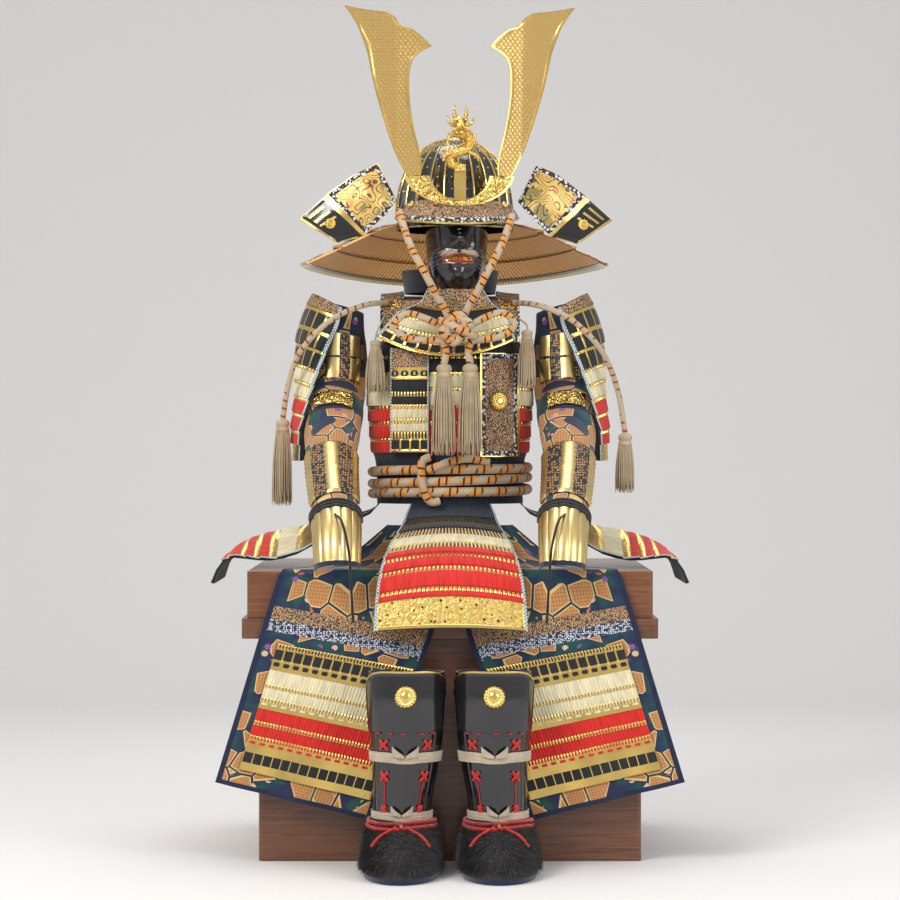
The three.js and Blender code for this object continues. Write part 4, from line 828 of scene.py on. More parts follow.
# Waist rope: a thick two-coloured braid, beige on one side and orange with dark stripes on the other,
# wound three times round the waist and passed up through its own loop.
def rope_finish(name, pale=(0.52, 0.42, 0.29), warm=(0.80, 0.36, 0.08), dark=(0.075, 0.012, 0.012),
        stripe=0.0125, turn=26.0, bead=0.56):
    material, tree, shader = finish_of(name, pale, 0.72, sheen=0.3, specular=0.25)
    where = axes(tree, place(tree, "UV", (1000, 1000, 1)))
    along, around = where[1], where[0]
    side = op(tree, "FRACT", op(tree, "MULTIPLY_ADD", along, turn / 1000, around))
    warm_side = op(tree, "LESS_THAN", side, bead)
    slant = op(tree, "MULTIPLY_ADD", side, 0.35, op(tree, "DIVIDE", along, stripe * 1000))
    mark = op(tree, "LESS_THAN", op(tree, "FRACT", slant), 0.27)
    plait = op(tree, "ABSOLUTE",
        op(tree, "SINE", op(tree, "MULTIPLY_ADD", around, 50.0, op(tree, "MULTIPLY", along, 1.9))))
    # Painted shade and highlight on the strands: on both sides of the braid the colour goes darker in the
    # hollows of the plait and lighter on its crests.
    orange = mix(tree, mark, mix(tree, plait, toned(warm, 0.62), warm), dark)
    beige = mix(tree, plait, toned(pale, 0.6), toned(pale, 1.2))
    tint(tree, shader, mix(tree, warm_side, beige, orange))
    bump(tree, shader, plait, 0.0006, 0.8)
    return material


def spline(control, step):
    """Points at even spacing on a centripetal curve through the control points."""
    p = np.asarray(control, float)
    ends = np.vstack([2 * p[0] - p[1], p, 2 * p[-1] - p[-2]])
    fine = []
    for i in range(1, len(ends) - 2):
        q = ends[i - 1:i + 3]
        t = np.cumsum([0] + [max(np.linalg.norm(q[k + 1] - q[k]), 1e-6) ** 0.5 for k in range(3)])
        for s in np.linspace(t[1], t[2], 24, endpoint=False):
            a = [(t[k + 1] - s) / (t[k + 1] - t[k]) * q[k] + (s - t[k]) / (t[k + 1] - t[k]) * q[k + 1]
                for k in range(3)]
            b = [(t[k + 2] - s) / (t[k + 2] - t[k]) * a[k] + (s - t[k]) / (t[k + 2] - t[k]) * a[k + 1]
                for k in range(2)]
            fine.append((t[2] - s) / (t[2] - t[1]) * b[0] + (s - t[1]) / (t[2] - t[1]) * b[1])
    fine = np.array(fine + [p[-1]])
    run = run_of(fine)
    at = np.linspace(0, run[-1], max(3, int(round(run[-1] / step)) + 1))
    return np.stack([np.interp(at, run, fine[:, k]) for k in range(3)], -1), run[-1]


def tube(name, line, radius, finish, sides=12):
    """A round cord along a line of points; UV holds millimetres along it and the share around it."""
    line = np.asarray(line, float)
    radii = np.broadcast_to(radius, len(line)).astype(float)
    tangent = np.gradient(line, axis=0)
    tangent /= np.linalg.norm(tangent, axis=1, keepdims=True)
    normal = np.cross(tangent[0], (0.3, 0.2, 0.93))
    normal /= np.linalg.norm(normal)
    verts, uv = [], []
    run = 0.0
    for i, centre in enumerate(line):
        if i:
            run += np.linalg.norm(centre - line[i - 1])
            normal = normal - tangent[i] * normal.dot(tangent[i])
            normal /= np.linalg.norm(normal)
        other = np.cross(tangent[i], normal)
        for k in range(sides + 1):
            a = math.tau * k / sides
            verts.append(centre + radii[i] * (math.cos(a) * normal + math.sin(a) * other))
            uv.append((k / sides, run))
    ring = sides + 1
    faces = net(len(line), ring)
    for i, end in ((0, line[0]), (len(line) - 1, line[-1])):
        verts.append(end)
        uv.append((0.5, uv[i * ring][1]))
        middle = len(verts) - 1
        for k in range(sides):
            face = (i * ring + k, middle, i * ring + k + 1)
            faces.append(face if i == 0 else face[::-1])
    return piece(name, verts, faces, [finish], uv=uv, sharp=60)


two_tone = rope_finish("two_tone_braid")
ROPE = {"radius": 7.3, "clear": 2.6, "pitch": 17.2, "lowest": 552, "turns": 3, "start": -0.35}
angles = np.linspace(0, ROPE["turns"], 300)
winding = np.array([body_point(math.tau * (t + ROPE["start"]), ROPE["lowest"] + ROPE["pitch"] * (t - 0.5)
    + 1.2 * math.sin(9.1 * t), ROPE["radius"] + ROPE["clear"]) for t in angles])
loop, _ = spline([body_front(x, z, out) for x, z, out in (
    (-30, 604, 14), (-42, 598, 20), (-44, 575, 22), (-38, 545, 19), (-28, 534, 16), (-16, 536, 13))], 4)
upper, _ = spline([body_front(x, z, out) for x, z, out in (
    (-36, 583, 17), (-18, 590, 22), (4, 598, 20), (30, 601, 14), (60, 596, 11))], 4)
waist_rope = join("waist_rope_braid", [
    tube("winding", winding, 7.4, two_tone, 14), tube("rope_loop", loop, 6.4, two_tone, 14),
    tube("rope_over", upper, 6.2, two_tone, 14)])
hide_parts("waist_rope")


# Skirts: four hanging panels of laced rows, joined to the cuirass by close navy lacing. Each ends in a row
# faced with gilt openwork and a gilt rim.
FRONT_SKIRT = columns([
    # v, y, z, half width
    (0, -77.5, 530.4, 62), (0.04, -78.3, 521, 66), (0.14, -102, 508, 70), (0.30, -150, 494, 79),
    (0.48, -203, 476, 91), (0.64, -248, 454, 101), (0.76, -276, 425, 108), (0.88, -289, 390, 112),
    (1, -295, 352, 114),
], ("y", "z", "half"), soft=0.05)
BACK_SKIRT = columns([
    (0, 87.5, 530.4, 62), (0.05, 88.3, 521, 66), (0.22, 118, 500, 76), (0.55, 168, 466, 92),
    (0.8, 210, 448, 102), (1, 244, 440, 108),
], ("y", "z", "half"), soft=0.05)


def skirt_surface(table, facing):
    def surface(u, v):
        half = table["half"](v)
        bow = (2 * u - 1) ** 2
        hollow = 0.135 * half * held(1 - v * 3) * bow
        return points(half * (2 * u - 1) + 1, table["y"](v) - facing * hollow,
            table["z"](v) - 5 * held(v * 4) * bow)
    return surface


SKIRT_ROWS = [
    [(15.6, "lace", "navy")],
    [(9.6, "teeth", "gilt", "dark"), (9, "lace", "dark")],
    [(9.6, "teeth", "gilt", "cream"), (10, "lace", "cream")],
    [(5, "teeth", "gilt", "cream"), (5, "lace", "red")],
    [(3.6, "teeth", "gilt", "red"), (4.8, "lace", "red")],
    [(3, "teeth", "gilt", "red"), (7.1, "lace", "red")],
    [(2.4, "teeth", "gilt", "red"), (2.5, "lace", "red")],
    [(11.2, "plain", "open"), (1.6, "rim", "gilt")],
]


def skirt(name, node, surface, out, count, arch):
    obj = laced(name, surface, SKIRT_ROWS, LACED, count, 2.6, out, edge=4, arch=arch, inside="dark")
    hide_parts(node)


skirt("front_skirt_rows", "skirt_front", skirt_surface(FRONT_SKIRT, -1), -1, 33, 0.045)
skirt("back_skirt_rows", "skirt_back", skirt_surface(BACK_SKIRT, 1), 1, 33, 0.045)

SIDE_SKIRT = columns([
    # v, x, z, front y, back y, drop
    (0, 110.4, 530.4, -34, 44, 0), (0.03, 111, 521, -36, 46, 0), (0.12, 140, 511, -50, 58, 4),
    (0.26, 180, 508, -75, 74, 20), (0.40, 227, 503, -105, 85, 46), (0.54, 266, 497, -124, 92, 52),
    (0.67, 300, 486, -134, 96, 40), (0.78, 328, 469, -138, 98, 18), (0.89, 350, 446, -138, 98, 5),
    (1, 361, 410, -134, 94, 0),
], ("x", "z", "front", "back", "drop"), soft=0.05)


def side_skirt_surface(side):
    def surface(u, v):
        y = SIDE_SKIRT["front"](v) + (SIDE_SKIRT["back"](v) - SIDE_SKIRT["front"](v)) * u
        fall = SIDE_SKIRT["drop"](v) * ((1 - u) ** 2 + 0.35 * u * u)
        return points(side * SIDE_SKIRT["x"](v), y, SIDE_SKIRT["z"](v) - fall)
    return surface


SIDES = (("left", -1), ("right", 1))
for word, side in SIDES:
    skirt(f"side_skirt_rows_{word}", f"skirt_{word}", side_skirt_surface(side), -side, 39, 0.0)


# Sleeves: padded brocade tubes, navy and green with gold hexagons and flowers. Mail and gilt splints
# lie on the upper arm; a stitched edging runs round the wrist.
def brocade_finish(name):
    material, tree, shader = finish_of(name, (0.02, 0.08, 0.10), 0.62, sheen=0.3, specular=0.3)
    where = place(tree, "UV")
    loose = noise(tree, where, 26.0, 2.0)
    ground = ramp(tree, loose, [(0.40, (0.007, 0.013, 0.055)), (0.50, (0.006, 0.028, 0.065)),
        (0.60, (0.006, 0.060, 0.052))])
    cell = cells(tree, where, 30.0, 0.6)
    edge = cells(tree, where, 30.0, 0.6, feature="DISTANCE_TO_EDGE").outputs["Distance"]
    pick = make(tree, "ShaderNodeSeparateColor", {0: cell.outputs["Color"]})
    chosen = op(tree, "MULTIPLY", op(tree, "GREATER_THAN", pick.outputs[0], 0.46),
        op(tree, "GREATER_THAN", edge, 0.045))
    outline = op(tree, "LESS_THAN", edge, 0.085)
    grid = cells(tree, where, 210.0, 0.1)
    gold = mix(tree, grid.outputs["Distance"], (0.30, 0.09, 0.03), (0.66, 0.38, 0.13))
    gold = mix(tree, outline, gold, (0.72, 0.48, 0.17))
    flower = cells(tree, where, 58.0, 1.0)
    hue = make(tree, "ShaderNodeSeparateColor", {0: flower.outputs["Color"]})
    petal = ramp(tree, hue.outputs[1], [(0.3, (0.22, 0.07, 0.30)), (0.55, (0.55, 0.10, 0.05)),
        (0.8, (0.62, 0.42, 0.30))])
    patch = op(tree, "GREATER_THAN", noise(tree, where, 17.0, 1.0), 0.565)
    bloom = op(tree, "MULTIPLY", patch, op(tree, "LESS_THAN", flower.outputs["Distance"], 0.30))
    colour = mix(tree, bloom, mix(tree, chosen, ground, gold), petal)
    tint(tree, shader, colour)
    split = axes(tree, where)
    ribs = op(tree, "SINE", op(tree, "MULTIPLY", split[1], math.tau / 0.0012))
    thread = op(tree, "MULTIPLY_ADD", chosen, 1.4, op(tree, "MULTIPLY", ribs, 0.3))
    bump(tree, shader, thread, 0.0003, 0.7)
    return material


def mail_finish(name):
    """Black iron rings linked in a net over dark cloth, with a little gold thread."""
    material, tree, shader = finish_of(name, (0.02, 0.02, 0.022), 0.45, metal=0.2)
    where = place(tree)
    cell = cells(tree, where, 260.0, 0.25)
    ring = op(tree, "GREATER_THAN", cell.outputs["Distance"], 0.5)
    gleam = make(tree, "ShaderNodeSeparateColor", {0: cell.outputs["Color"]})
    spot = op(tree, "GREATER_THAN", gleam.outputs[0], 0.34)
    cloth_ = mix(tree, spot, (0.012, 0.05, 0.07), (0.46, 0.24, 0.10))
    tint(tree, shader, mix(tree, ring, cloth_, (0.022, 0.022, 0.025)))
    bump(tree, shader, ring, 0.0007, 0.8)
    return material


ARM = [
    # v, x, y, z, a, b
    (0, 171, 5, 838, 37, 40), (0.1, 182, 2, 795, 51, 47), (0.24, 184.1, -4, 742, 55, 50),
    (0.36, 184, -24, 692, 50, 47),
    (0.48, 182, -62, 647, 44, 43), (0.6, 182, -105, 613, 40, 39), (0.72, 180, -150, 581, 38, 36),
    (0.87, 175, -202, 542, 36, 33), (1, 170, -246, 508, 34, 30), (1.08, 168, -268, 489, 33, 29),
    (1.16, 167, -286, 466, 32, 27), (1.24, 166, -296, 438, 30, 23),
]
arm_line, _ = spline([row[1:4] for row in ARM], 2.0)
arm_run = run_of(arm_line)
arm_keys = [arm_run[np.argmin(np.linalg.norm(arm_line - np.array(row[1:4]), axis=1))] for row in ARM]
arm_wide, arm_high = [smooth([row[0] for row in ARM], [row[i] for row in ARM], 0.05) for i in (4, 5)]


def arm_point(side, turn, v, out):
    """Point on the arm: turn 0 is its outer side and a quarter turn its top."""
    turn, v, out = np.broadcast_arrays(turn, v, out)
    run = np.interp(v, [row[0] for row in ARM], arm_keys)
    at = lambda run: np.stack([np.interp(run, arm_run, arm_line[:, k]) for k in range(3)], -1)
    centre, along = at(run), at(run + 12) - at(run - 12)
    along /= np.linalg.norm(along, axis=-1, keepdims=True)
    across = np.array([1.0, 0, 0]) - along * along[..., :1]
    across /= np.linalg.norm(across, axis=-1, keepdims=True)
    up = np.cross(along, across)
    place_ = centre + across * ((arm_wide(v) + out) * np.cos(turn))[..., None]
    place_ = place_ + up * ((arm_high(v) + out) * np.sin(turn))[..., None]
    return place_ * np.array([side, 1, 1])


def folds(u, v):
    """Soft creases: tight ones inside the elbow, long shallow ones elsewhere."""
    elbow = np.exp(-((v - 0.42) / 0.13) ** 2) * np.clip(0.4 + np.sin(math.tau * u), 0, 1.4)
    deep = 1.9 * elbow * np.sin(62 * v + 2.2 * np.sin(math.tau * u))
    long = 1.1 * np.sin(math.tau * (2 * u + 1.6 * v)) * np.sin(9 * v) + 0.8 * np.sin(math.tau * 3 * u + 14
        * v)
    return (deep + long) * held(v * 8) * held((1 - v) * 8) - 0.6


def beads(name, centres, ways, radius, finish):
    """Small six-sided domes, each facing its own way."""
    verts, faces = [], []
    for centre, way in zip(centres, ways):
        way = Vector(way).normalized()
        side = way.orthogonal().normalized()
        other = way.cross(side)
        first = len(verts)
        for lift, r in ((-0.6, 0.9), (0.3, 1.0), (0.85, 0.55)):
            for k in range(6):
                a = math.pi * k / 3
                verts.append(Vector(centre) + radius * (side * r * math.cos(a) + other * r * math.sin(a)
                    + way * lift))
        for r in range(2):
            for k in range(6):
                n = (k + 1) % 6
                faces.append((first + 6 * r + k, first + 6 * r + n, first + 6 * r + 6 + n,
                    first + 6 * r + 6 + k))
        faces.append(tuple(first + k for k in reversed(range(6))))
        faces.append(tuple(first + 12 + k for k in range(6)))
    return piece(name, verts, faces, [finish], sharp=50)


brocade = brocade_finish("brocade")
mail = mail_finish("mail")
pale_gilt = gilding("gilt_satin", None, 0.33, (0.80, 0.61, 0.26))
for word, side in SIDES:
    sleeve = shell(f"sleeve_brocade_{word}", lambda u, v: arm_point(side, math.tau * u, v, -2),
        even(97), even(121), 2.0, [brocade, navy], side, raised=folds,
        back=(49, 25), closed=True,
        paint=lambda u, v: np.where((v > 0.985) | (v < 0.012), 1, 0), inside=1)
    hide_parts(f"sleeve_{word}")

    # Upper arm: gilt splints in two rows on mail, and a small gilt plate above the elbow.
    def patch(turn_from, turn_to, v_from, v_to, lift):
        return lambda u, v: arm_point(side, math.tau * (turn_from + (turn_to - turn_from) * u),
            v_from + (v_to - v_from) * v, lift)
    stack = [shell("mail_upper", patch(0.11, 0.40, 0.1, 0.33, 1.2), even(25), even(25), 0.8,
        [mail], side, back=(13, 13))]
    for v0, v1 in ((0.105, 0.208), (0.222, 0.325)):
        for t0, t1 in ((0.118, 0.176), (0.226, 0.284), (0.334, 0.392)):
            stack.append(shell("splint_upper", patch(t0, t1, v0, v1, 2.2), even(9), even(9),
                1.0, [pale_gilt], side, raised=lambda u, v: 1.2 * hump(u) ** 0.6,
                back=(5, 5)))
    stack.append(shell("elbow_plate", patch(0.16, 0.36, 0.40, 0.46, 3.0), even(13), even(9),
        1.0, [gilt_scrolls], side, raised=lambda u, v: 2.4 * hump(u) * hump(v),
        back=(7, 5)))
    splints = join(f"upper_arm_splints_{word}", stack)

    # Forearm guard: three long gilt splints with studded edges, mail between them.
    strips = ((0.0, 0.19), (0.40, 0.60), (0.81, 1.0))
    forearm = lambda u, v, out=1.0: arm_point(side, math.tau * (0.03 + 0.44 * u), 0.66 + 0.27 * v, out)

    def splint_height(u, v):
        high = sum(np.where((u > a - 0.001) & (u < b + 0.001),
            1.4 + 1.5 * np.sin(held((u - a) / (b - a)) * math.pi) ** 0.7, 0)
            for a, b in strips)
        return high * held(v * 30) * held((1 - v) * 30) + 0.4 * np.exp(-((v - 0.5) / 0.02) ** 2)
    guard_us = np.unique(np.concatenate([even(29)] + [np.linspace(a, b, 9) for a, b in strips]
        + [[a - 0.003, b + 0.003] for a, b in strips]))
    guard = shell("forearm_plates", forearm, guard_us, even(41), 1.4, [mail, pale_gilt, black], side,
        raised=splint_height, back=(13, 7),
        paint=lambda u, v: np.where(sum(((u > a) & (u < b)).astype(int) for a, b in strips) > 0, 1, 0))
    studs = []
    for a, b in strips:
        for u in (a + 0.014, b - 0.014):
            for v in np.linspace(0.06, 0.94, 11):
                studs.append(forearm(u, v, 4.2))
    guard = join(f"forearm_splints_{word}",
        [guard, beads("splint_studs", studs, [(0, -1, 0.3)] * len(studs), 0.9, black)])
    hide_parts(f"forearm_guard_{word}")

    # Hand guard: ribbed gilt shell over the back of the hand with a blue cloth edge.
    def hand(u, v):
        return arm_point(side, math.pi * (-0.03 + 1.06 * u), 0.968 + 0.27 * v, 1.2)
    edge_of = lambda u, v: np.minimum(inset(u) * 2.2, inset(v))
    hand_guard = shell("hand_shell", hand, even(85), even(29), 1.6, [pale_gilt, navy, mail], side,
        raised=lambda u, v: np.where(edge_of(u, v) < 0.07, 1.4,
        1.6 * np.abs(np.sin(7 * math.pi * u)) ** 0.6), back=(15, 8),
        paint=lambda u, v: np.where(edge_of(u, v) < 0.07, 1, 0), inside=1)
    bands = []
    for v, radius in ((0.975, 2.4), (0.99, 2.4), (1.005, 2.4)):
        a = np.linspace(-0.02, 1.02, 40) * math.pi
        bands.append(tube("wrist_tie", arm_point(side, a, np.full(40, v), 4.2), radius, black_lace, 8))
    hand_piece = join(f"hand_guard_shell_{word}", [hand_guard] + bands)
    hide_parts(f"hand_guard_{word}")


# Large shoulder guards: curved shields of laced rows that hang from the shoulders on silk cords.
GUARD = columns([
    # v, z, x, y, radius, half angle
    (0, 860, 152, -4, 62, 76), (0.12, 828, 158, -4, 70, 78), (0.24, 794, 160, -4, 77.6, 70),
    (0.38, 755, 160, -6, 80.4, 60), (0.6, 696, 148.6, -17, 92, 41), (0.8, 647, 130, -22, 116, 30),
    (1, 598, 122, -24, 120, 28),
], ("z", "x", "y", "radius", "half"), soft=0.05)


def guard_surface(side):
    def surface(u, v):
        a = np.radians(GUARD["half"](v)) * (2 * u - 1)
        x = GUARD["x"](v) + GUARD["radius"](v) * np.cos(a)
        droop = 26 * (1 - v) * (2 * u - 1) ** 2
        return points(side * x, GUARD["radius"](v) * np.sin(a) + GUARD["y"](v), GUARD["z"](v) - droop)
    return surface


GUARD_ROWS = [
    [(9, "plain", "leather")],
    [(3, "rim", "gilt"), (12, "bars", "dark", "gilt"), (3, "rim", "gilt"), (10, "bars", "dark", "gilt")],
    [(3, "rim", "gilt"), (12, "bars", "dark", "gilt")],
    [(3.4, "teeth", "gilt", "cream"), (9, "lace", "cream")],
    [(3.4, "teeth", "gilt", "cream"), (9, "lace", "cream")],
    [(3.4, "teeth", "gilt", "red"), (11, "lace", "red")],
    [(3.4, "teeth", "gilt", "red"), (11, "lace", "red")],
    [(3.4, "teeth", "gilt", "red"), (9, "lace", "red")],
    [(13, "plain", "open"), (1.8, "rim", "gilt")],
]
for word, side in SIDES:
    guard = laced(f"shoulder_guard_rows_{word}", guard_surface(side), GUARD_ROWS, LACED, 30, 2.6, -side,
        edge=5, inside="dark")
    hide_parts(f"shoulder_guard_{word}")


# Aprons that cover the thighs: brocade with a navy edge, printed leather and stitched bands across,
# and seven narrow laced plates sewn on.
APRON = columns([
    # v, inner x, inner y, inner z, outer x, outer y, outer z
    (0, 10, -104, 497, 96, -84, 497), (0.07, 11, -128, 452, 150, -112, 452),
    (0.13, 12, -160, 434.6, 200, -150, 434.6),
    (0.3, 18, -246.6, 434.6, 250, -246.6, 434.6), (0.34, 20, -249.5, 427, 256, -249.5, 427),
    (0.42, 24, -256, 346, 268, -256, 389), (1, 120, -268, 66, 348, -268, 122),
], ("ix", "iy", "iz", "ox", "oy", "oz"), soft=0.012)


def apron_surface(side):
    def surface(u, v):
        x, y, z = [APRON["i" + k](v) + (APRON["o" + k](v) - APRON["i" + k](v)) * u for k in "xyz"]
        hang = held((v - 0.42) / 0.58)
        return points(side * x, y - 3 * hang * hang * np.sin(5 * math.pi * u + 0.6), z)
    return surface


APRON_ROWS = [
    [(4, "teeth", "gilt", "dark"), (11, "squares", "dark", "gilt"), (6, "dots", "dark", "gilt"),
    (2, "plain", "gilt")],
    [(13, "lace", "cream"), (3, "teeth", "gilt", "cream")],
    [(9, "lace", "cream"), (4, "teeth", "gilt", "cream"), (3, "dots", "cream", "gilt"),
    (3, "plain", "gilt")],
    [(11, "lace", "red"), (4, "teeth", "gilt", "red")],
    [(9, "lace", "red"), (4, "teeth", "gilt", "red"), (4, "dots", "red", "gilt")],
    [(5, "plain", "gilt"), (13, "crosses", "dark", "gilt"), (5, "plain", "gilt")],
]


def flower_band(name):
    """White star flowers in a row on navy ground, with a dotted white line on both sides."""
    material, tree, shader = finish_of(name, (0.02, 0.03, 0.07), 0.7, sheen=0.2)
    where = place(tree)
    cell = cells(tree, where, 95.0, 0.35)
    small = cells(tree, where, 360.0, 0.6)
    ring = op(tree, "MULTIPLY", op(tree, "GREATER_THAN", cell.outputs["Distance"], 0.26),
        op(tree, "LESS_THAN", small.outputs["Distance"], 0.42))
    tint(tree, shader, mix(tree, ring, (0.012, 0.016, 0.045), (0.62, 0.64, 0.72)))
    bump(tree, shader, ring, 0.0003, 0.6)
    return material


flowers = flower_band("flower_band")
apron_us = np.unique(np.concatenate([even(61), [0.022, 0.03]]))
for word, side in SIDES:
    def bands(u, v):
        part = (v - 0.42) / 0.58
        rim = np.minimum(inset(u) * 240, (1 - v) * 560)
        index = np.where((part > 0.015) & (part < 0.085), 2, 0)
        index = np.where((part >= 0.085) & (part < 0.15), 3, index)
        index = np.where((u < 0.19) & (v > 0.14) & (v < 0.425), 3, index)
        index = np.where((u < 0.13) & (v > 0.14) & (v < 0.43), 2, index)
        return np.where(rim < 7.5, 1, index)

    def soft_folds(u, v):
        hang = held((v - 0.5) * 2.2)
        return 0.5 + 0.5 * np.sin(9 * u + 4 * v) * hang + 0.9 * np.where(inset(u) * 240 < 7.5, 1, 0)
    apron = shell(f"apron_brocade_{word}", apron_surface(side), apron_us, even(141), 2.0,
        [brocade, navy, leather, flowers], -side, raised=soft_folds,
        back=(31, 71), paint=bands, inside=1)
    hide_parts(f"apron_{word}")

    def plate_place(u, v):
        return apron_surface(side)(0.04 + 0.84 * u, 0.42 + 0.58 * (0.21 + 0.69 * v))
    plates = laced(f"apron_plates_rows_{word}", plate_place, APRON_ROWS, LACED, 42, 1.8, -side, start=3.0,
        lift=1.5, inside="dark")
    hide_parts(f"apron_plates_{word}")


# Shin guards of black lacquered iron with a ridge in front, tied with beige silk ribbons and laced at
# the joints with red cord; a large plate with a gilt rim and flower covers each knee.
SHIN = columns([
    # z, half width, half depth, x
    (66, 42, 38, 71), (100, 43, 39, 70), (150, 49, 44, 66), (205, 55, 48, 64), (240, 56, 50, 64),
    (290, 56, 50, 64),
], ("wide", "deep", "x"), soft=0.12)
LEG_Y = -313.4


def shin_point(side, angle, z, out):
    x = SHIN["x"](z) + (SHIN["wide"](z) + out) * np.sin(angle)
    return points(side * x, LEG_Y - (SHIN["deep"](z) + out) * np.cos(angle), z)


beige = cloth("beige_ribbon", (0.56, 0.47, 0.34), 0.0009, 0.7, 1.25)
red_cord = cloth("red_cord", (0.62, 0.012, 0.008), 0.0011, 0.7, 1.2)
for word, side in SIDES:
    def shin_surface(u, v):
        return shin_point(side, math.pi * (0.86 - 1.72 * u), 290 - 224 * v, -2.4)

    def shin_relief(u, v):
        ridge = 2.0 * np.exp(-((u - 0.5) / 0.016) ** 2) * held((v - 0.36) * 12)
        facet = -1.2 * np.exp(-((np.abs(u - 0.5) - 0.075) / 0.03) ** 2) * held((v - 0.36) * 12)
        hinge = -1.1 * np.exp(-((np.abs(u - 0.5) - 0.165) / 0.005) ** 2)
        return ridge + facet + hinge
    shin_us = np.unique(
        np.concatenate([even(73), 0.5 + np.array([-0.17, -0.165, -0.16, 0.16, 0.165, 0.17])]))
    shin = shell("shin_wall", shin_surface, shin_us, even(45), 2.4, [black, navy], side,
        raised=shin_relief, back=(25, 9), inside=1)

    def crossed(angle, z, size=6.5):
        """A knotted cross of red cord on the outside of the shin guard."""
        made = []
        for lean in (-1, 1):
            line = [shin_point(side, angle + lean * t * size / 55, z + t * size, 1.2 + 1.8 * (1 - t * t))
                for t in np.linspace(-1, 1, 7)]
            made.append(tube("cross", line, 2.3, red_cord, 8))
        return made

    laces = []
    for angle in (-0.62, 0.62):
        laces += crossed(angle, 186) + crossed(angle, 140)
        laces.append(tube("lace_down", [shin_point(side, angle, z, 1.0) for z in np.linspace(134, 96, 9)],
            0.9, red_cord, 6))
        laces += crossed(angle, 92, 4.0)
    for angle in (-0.75, -0.4, 0.05, 0.42, 0.8):
        laces.append(tube("stitch", [shin_point(side, angle + t, 203 + 2 * t, 2.0)
            for t in np.linspace(-0.06, 0.06, 5)], 1.3, red_cord, 6))

    def ribbon(z, height, name):
        """Flat silk ribbon wrapped round the shin and knotted in front."""
        def around(u, v):
            angle = (0.5 - u) * 2 * 2.65
            sink = -5.0 * np.exp(-(angle / 0.25) ** 2)
            return shin_point(side, angle, z + sink + height * (0.5 - v)
                * (1 - 0.45 * np.exp(-(angle / 0.2) ** 2)), 2.2)
        wrap = shell(name, around, even(61), even(7), 0.7, [beige], side,
            raised=lambda u, v: 0.5 * np.sin(5 * math.pi * v + 6 * u), back=(31, [0, 0.5, 1]))
        tails = []
        for lean in (-1, 1):
            def tail(u, v):
                angle = lean * (0.02 + 0.33 * u)
                return shin_point(side, angle, z + 1 + 9 * u - (height * 0.75) * (v - 0.45)
                    * (0.35 + 0.9 * u), 4.5 + 3.0 * hump(u) - 1.2 * u)
            tails.append(shell("ribbon_end", tail, even(13), even(6), 0.7, [beige], -side * lean,
                back=(7, [0, 0.5, 1])))
        return [wrap] + tails
    shin = join(f"shin_plates_{word}", [shin] + laces + ribbon(168, 15, "ribbon_upper") + ribbon(82, 12,
        "ribbon_lower"))
    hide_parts(f"shin_guard_{word}")

    def knee(u, v):
        z = 294 - 89 * v
        return points(*np.moveaxis(shin_point(side, (1.45 - 0.25 * v) * (1 - 2 * u), np.minimum(z, 289),
            2.1), -1, 0)[:2], z)

    def knee_round(u, v):
        """Rounds the two upper corners of the knee plate."""
        x = np.abs(2 * u - 1)
        drop = 0.42 * (1 - np.sqrt(held(1 - held((x - 0.3) / 0.7) ** 2.4)))
        return knee(u, drop + (1 - drop) * v)
    knee_us = np.sin(np.linspace(-math.pi / 2, math.pi / 2, 65)) / 2 + 0.5
    knee_vs = np.concatenate([[0, 0.012, 0.03, 0.05], np.linspace(0.09, 0.93, 21), [0.965, 0.985, 1]])
    rim_of = lambda u, v: np.minimum(v * 89, inset(u) * 165)
    plate = shell("knee_wall", knee_round, knee_us, knee_vs, 1.9, [black, gilt, navy], side,
        raised=lambda u, v: np.where(rim_of(u, v) < 2.8, 1.1, 0.0) + 2.2 * hump(u) * hump(v),
        back=(31, 13),
        paint=lambda u, v: np.where(rim_of(u, v) < 3.0, 1, 0), inside=2)
    centre = knee(0.5, 0.42) + np.array([0, -4.2, 0])
    plate = join(f"knee_plate_rim_{word}", [plate, boss("knee_boss", centre, (0, -1, 0.05), 16.5, 18, 6)])
    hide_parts(f"knee_plate_{word}")


# Fur boots: leather boots covered in short stiff black fur, with a navy sole edge and a red cord with
# a small bead round the ankle.
BOOT = columns([
    # z, half width, front y, back y
    (0, 54, -478, -270.4), (9, 57, -481, -268.4), (30, 56, -468, -268.4), (52, 52.5, -426, -266.4),
    (74, 48.8, -359, -267.8),
], ("wide", "front", "back"), soft=0.06)


def boot_point(side, u, z, out):
    front, back, wide = BOOT["front"](z), BOOT["back"](z), BOOT["wide"](z)
    middle, half = (front + back) / 2, (back - front) / 2
    a = math.tau * u
    return points(side * 71 + (wide + out) * np.sin(a), middle - (half + out) * np.cos(a), z)


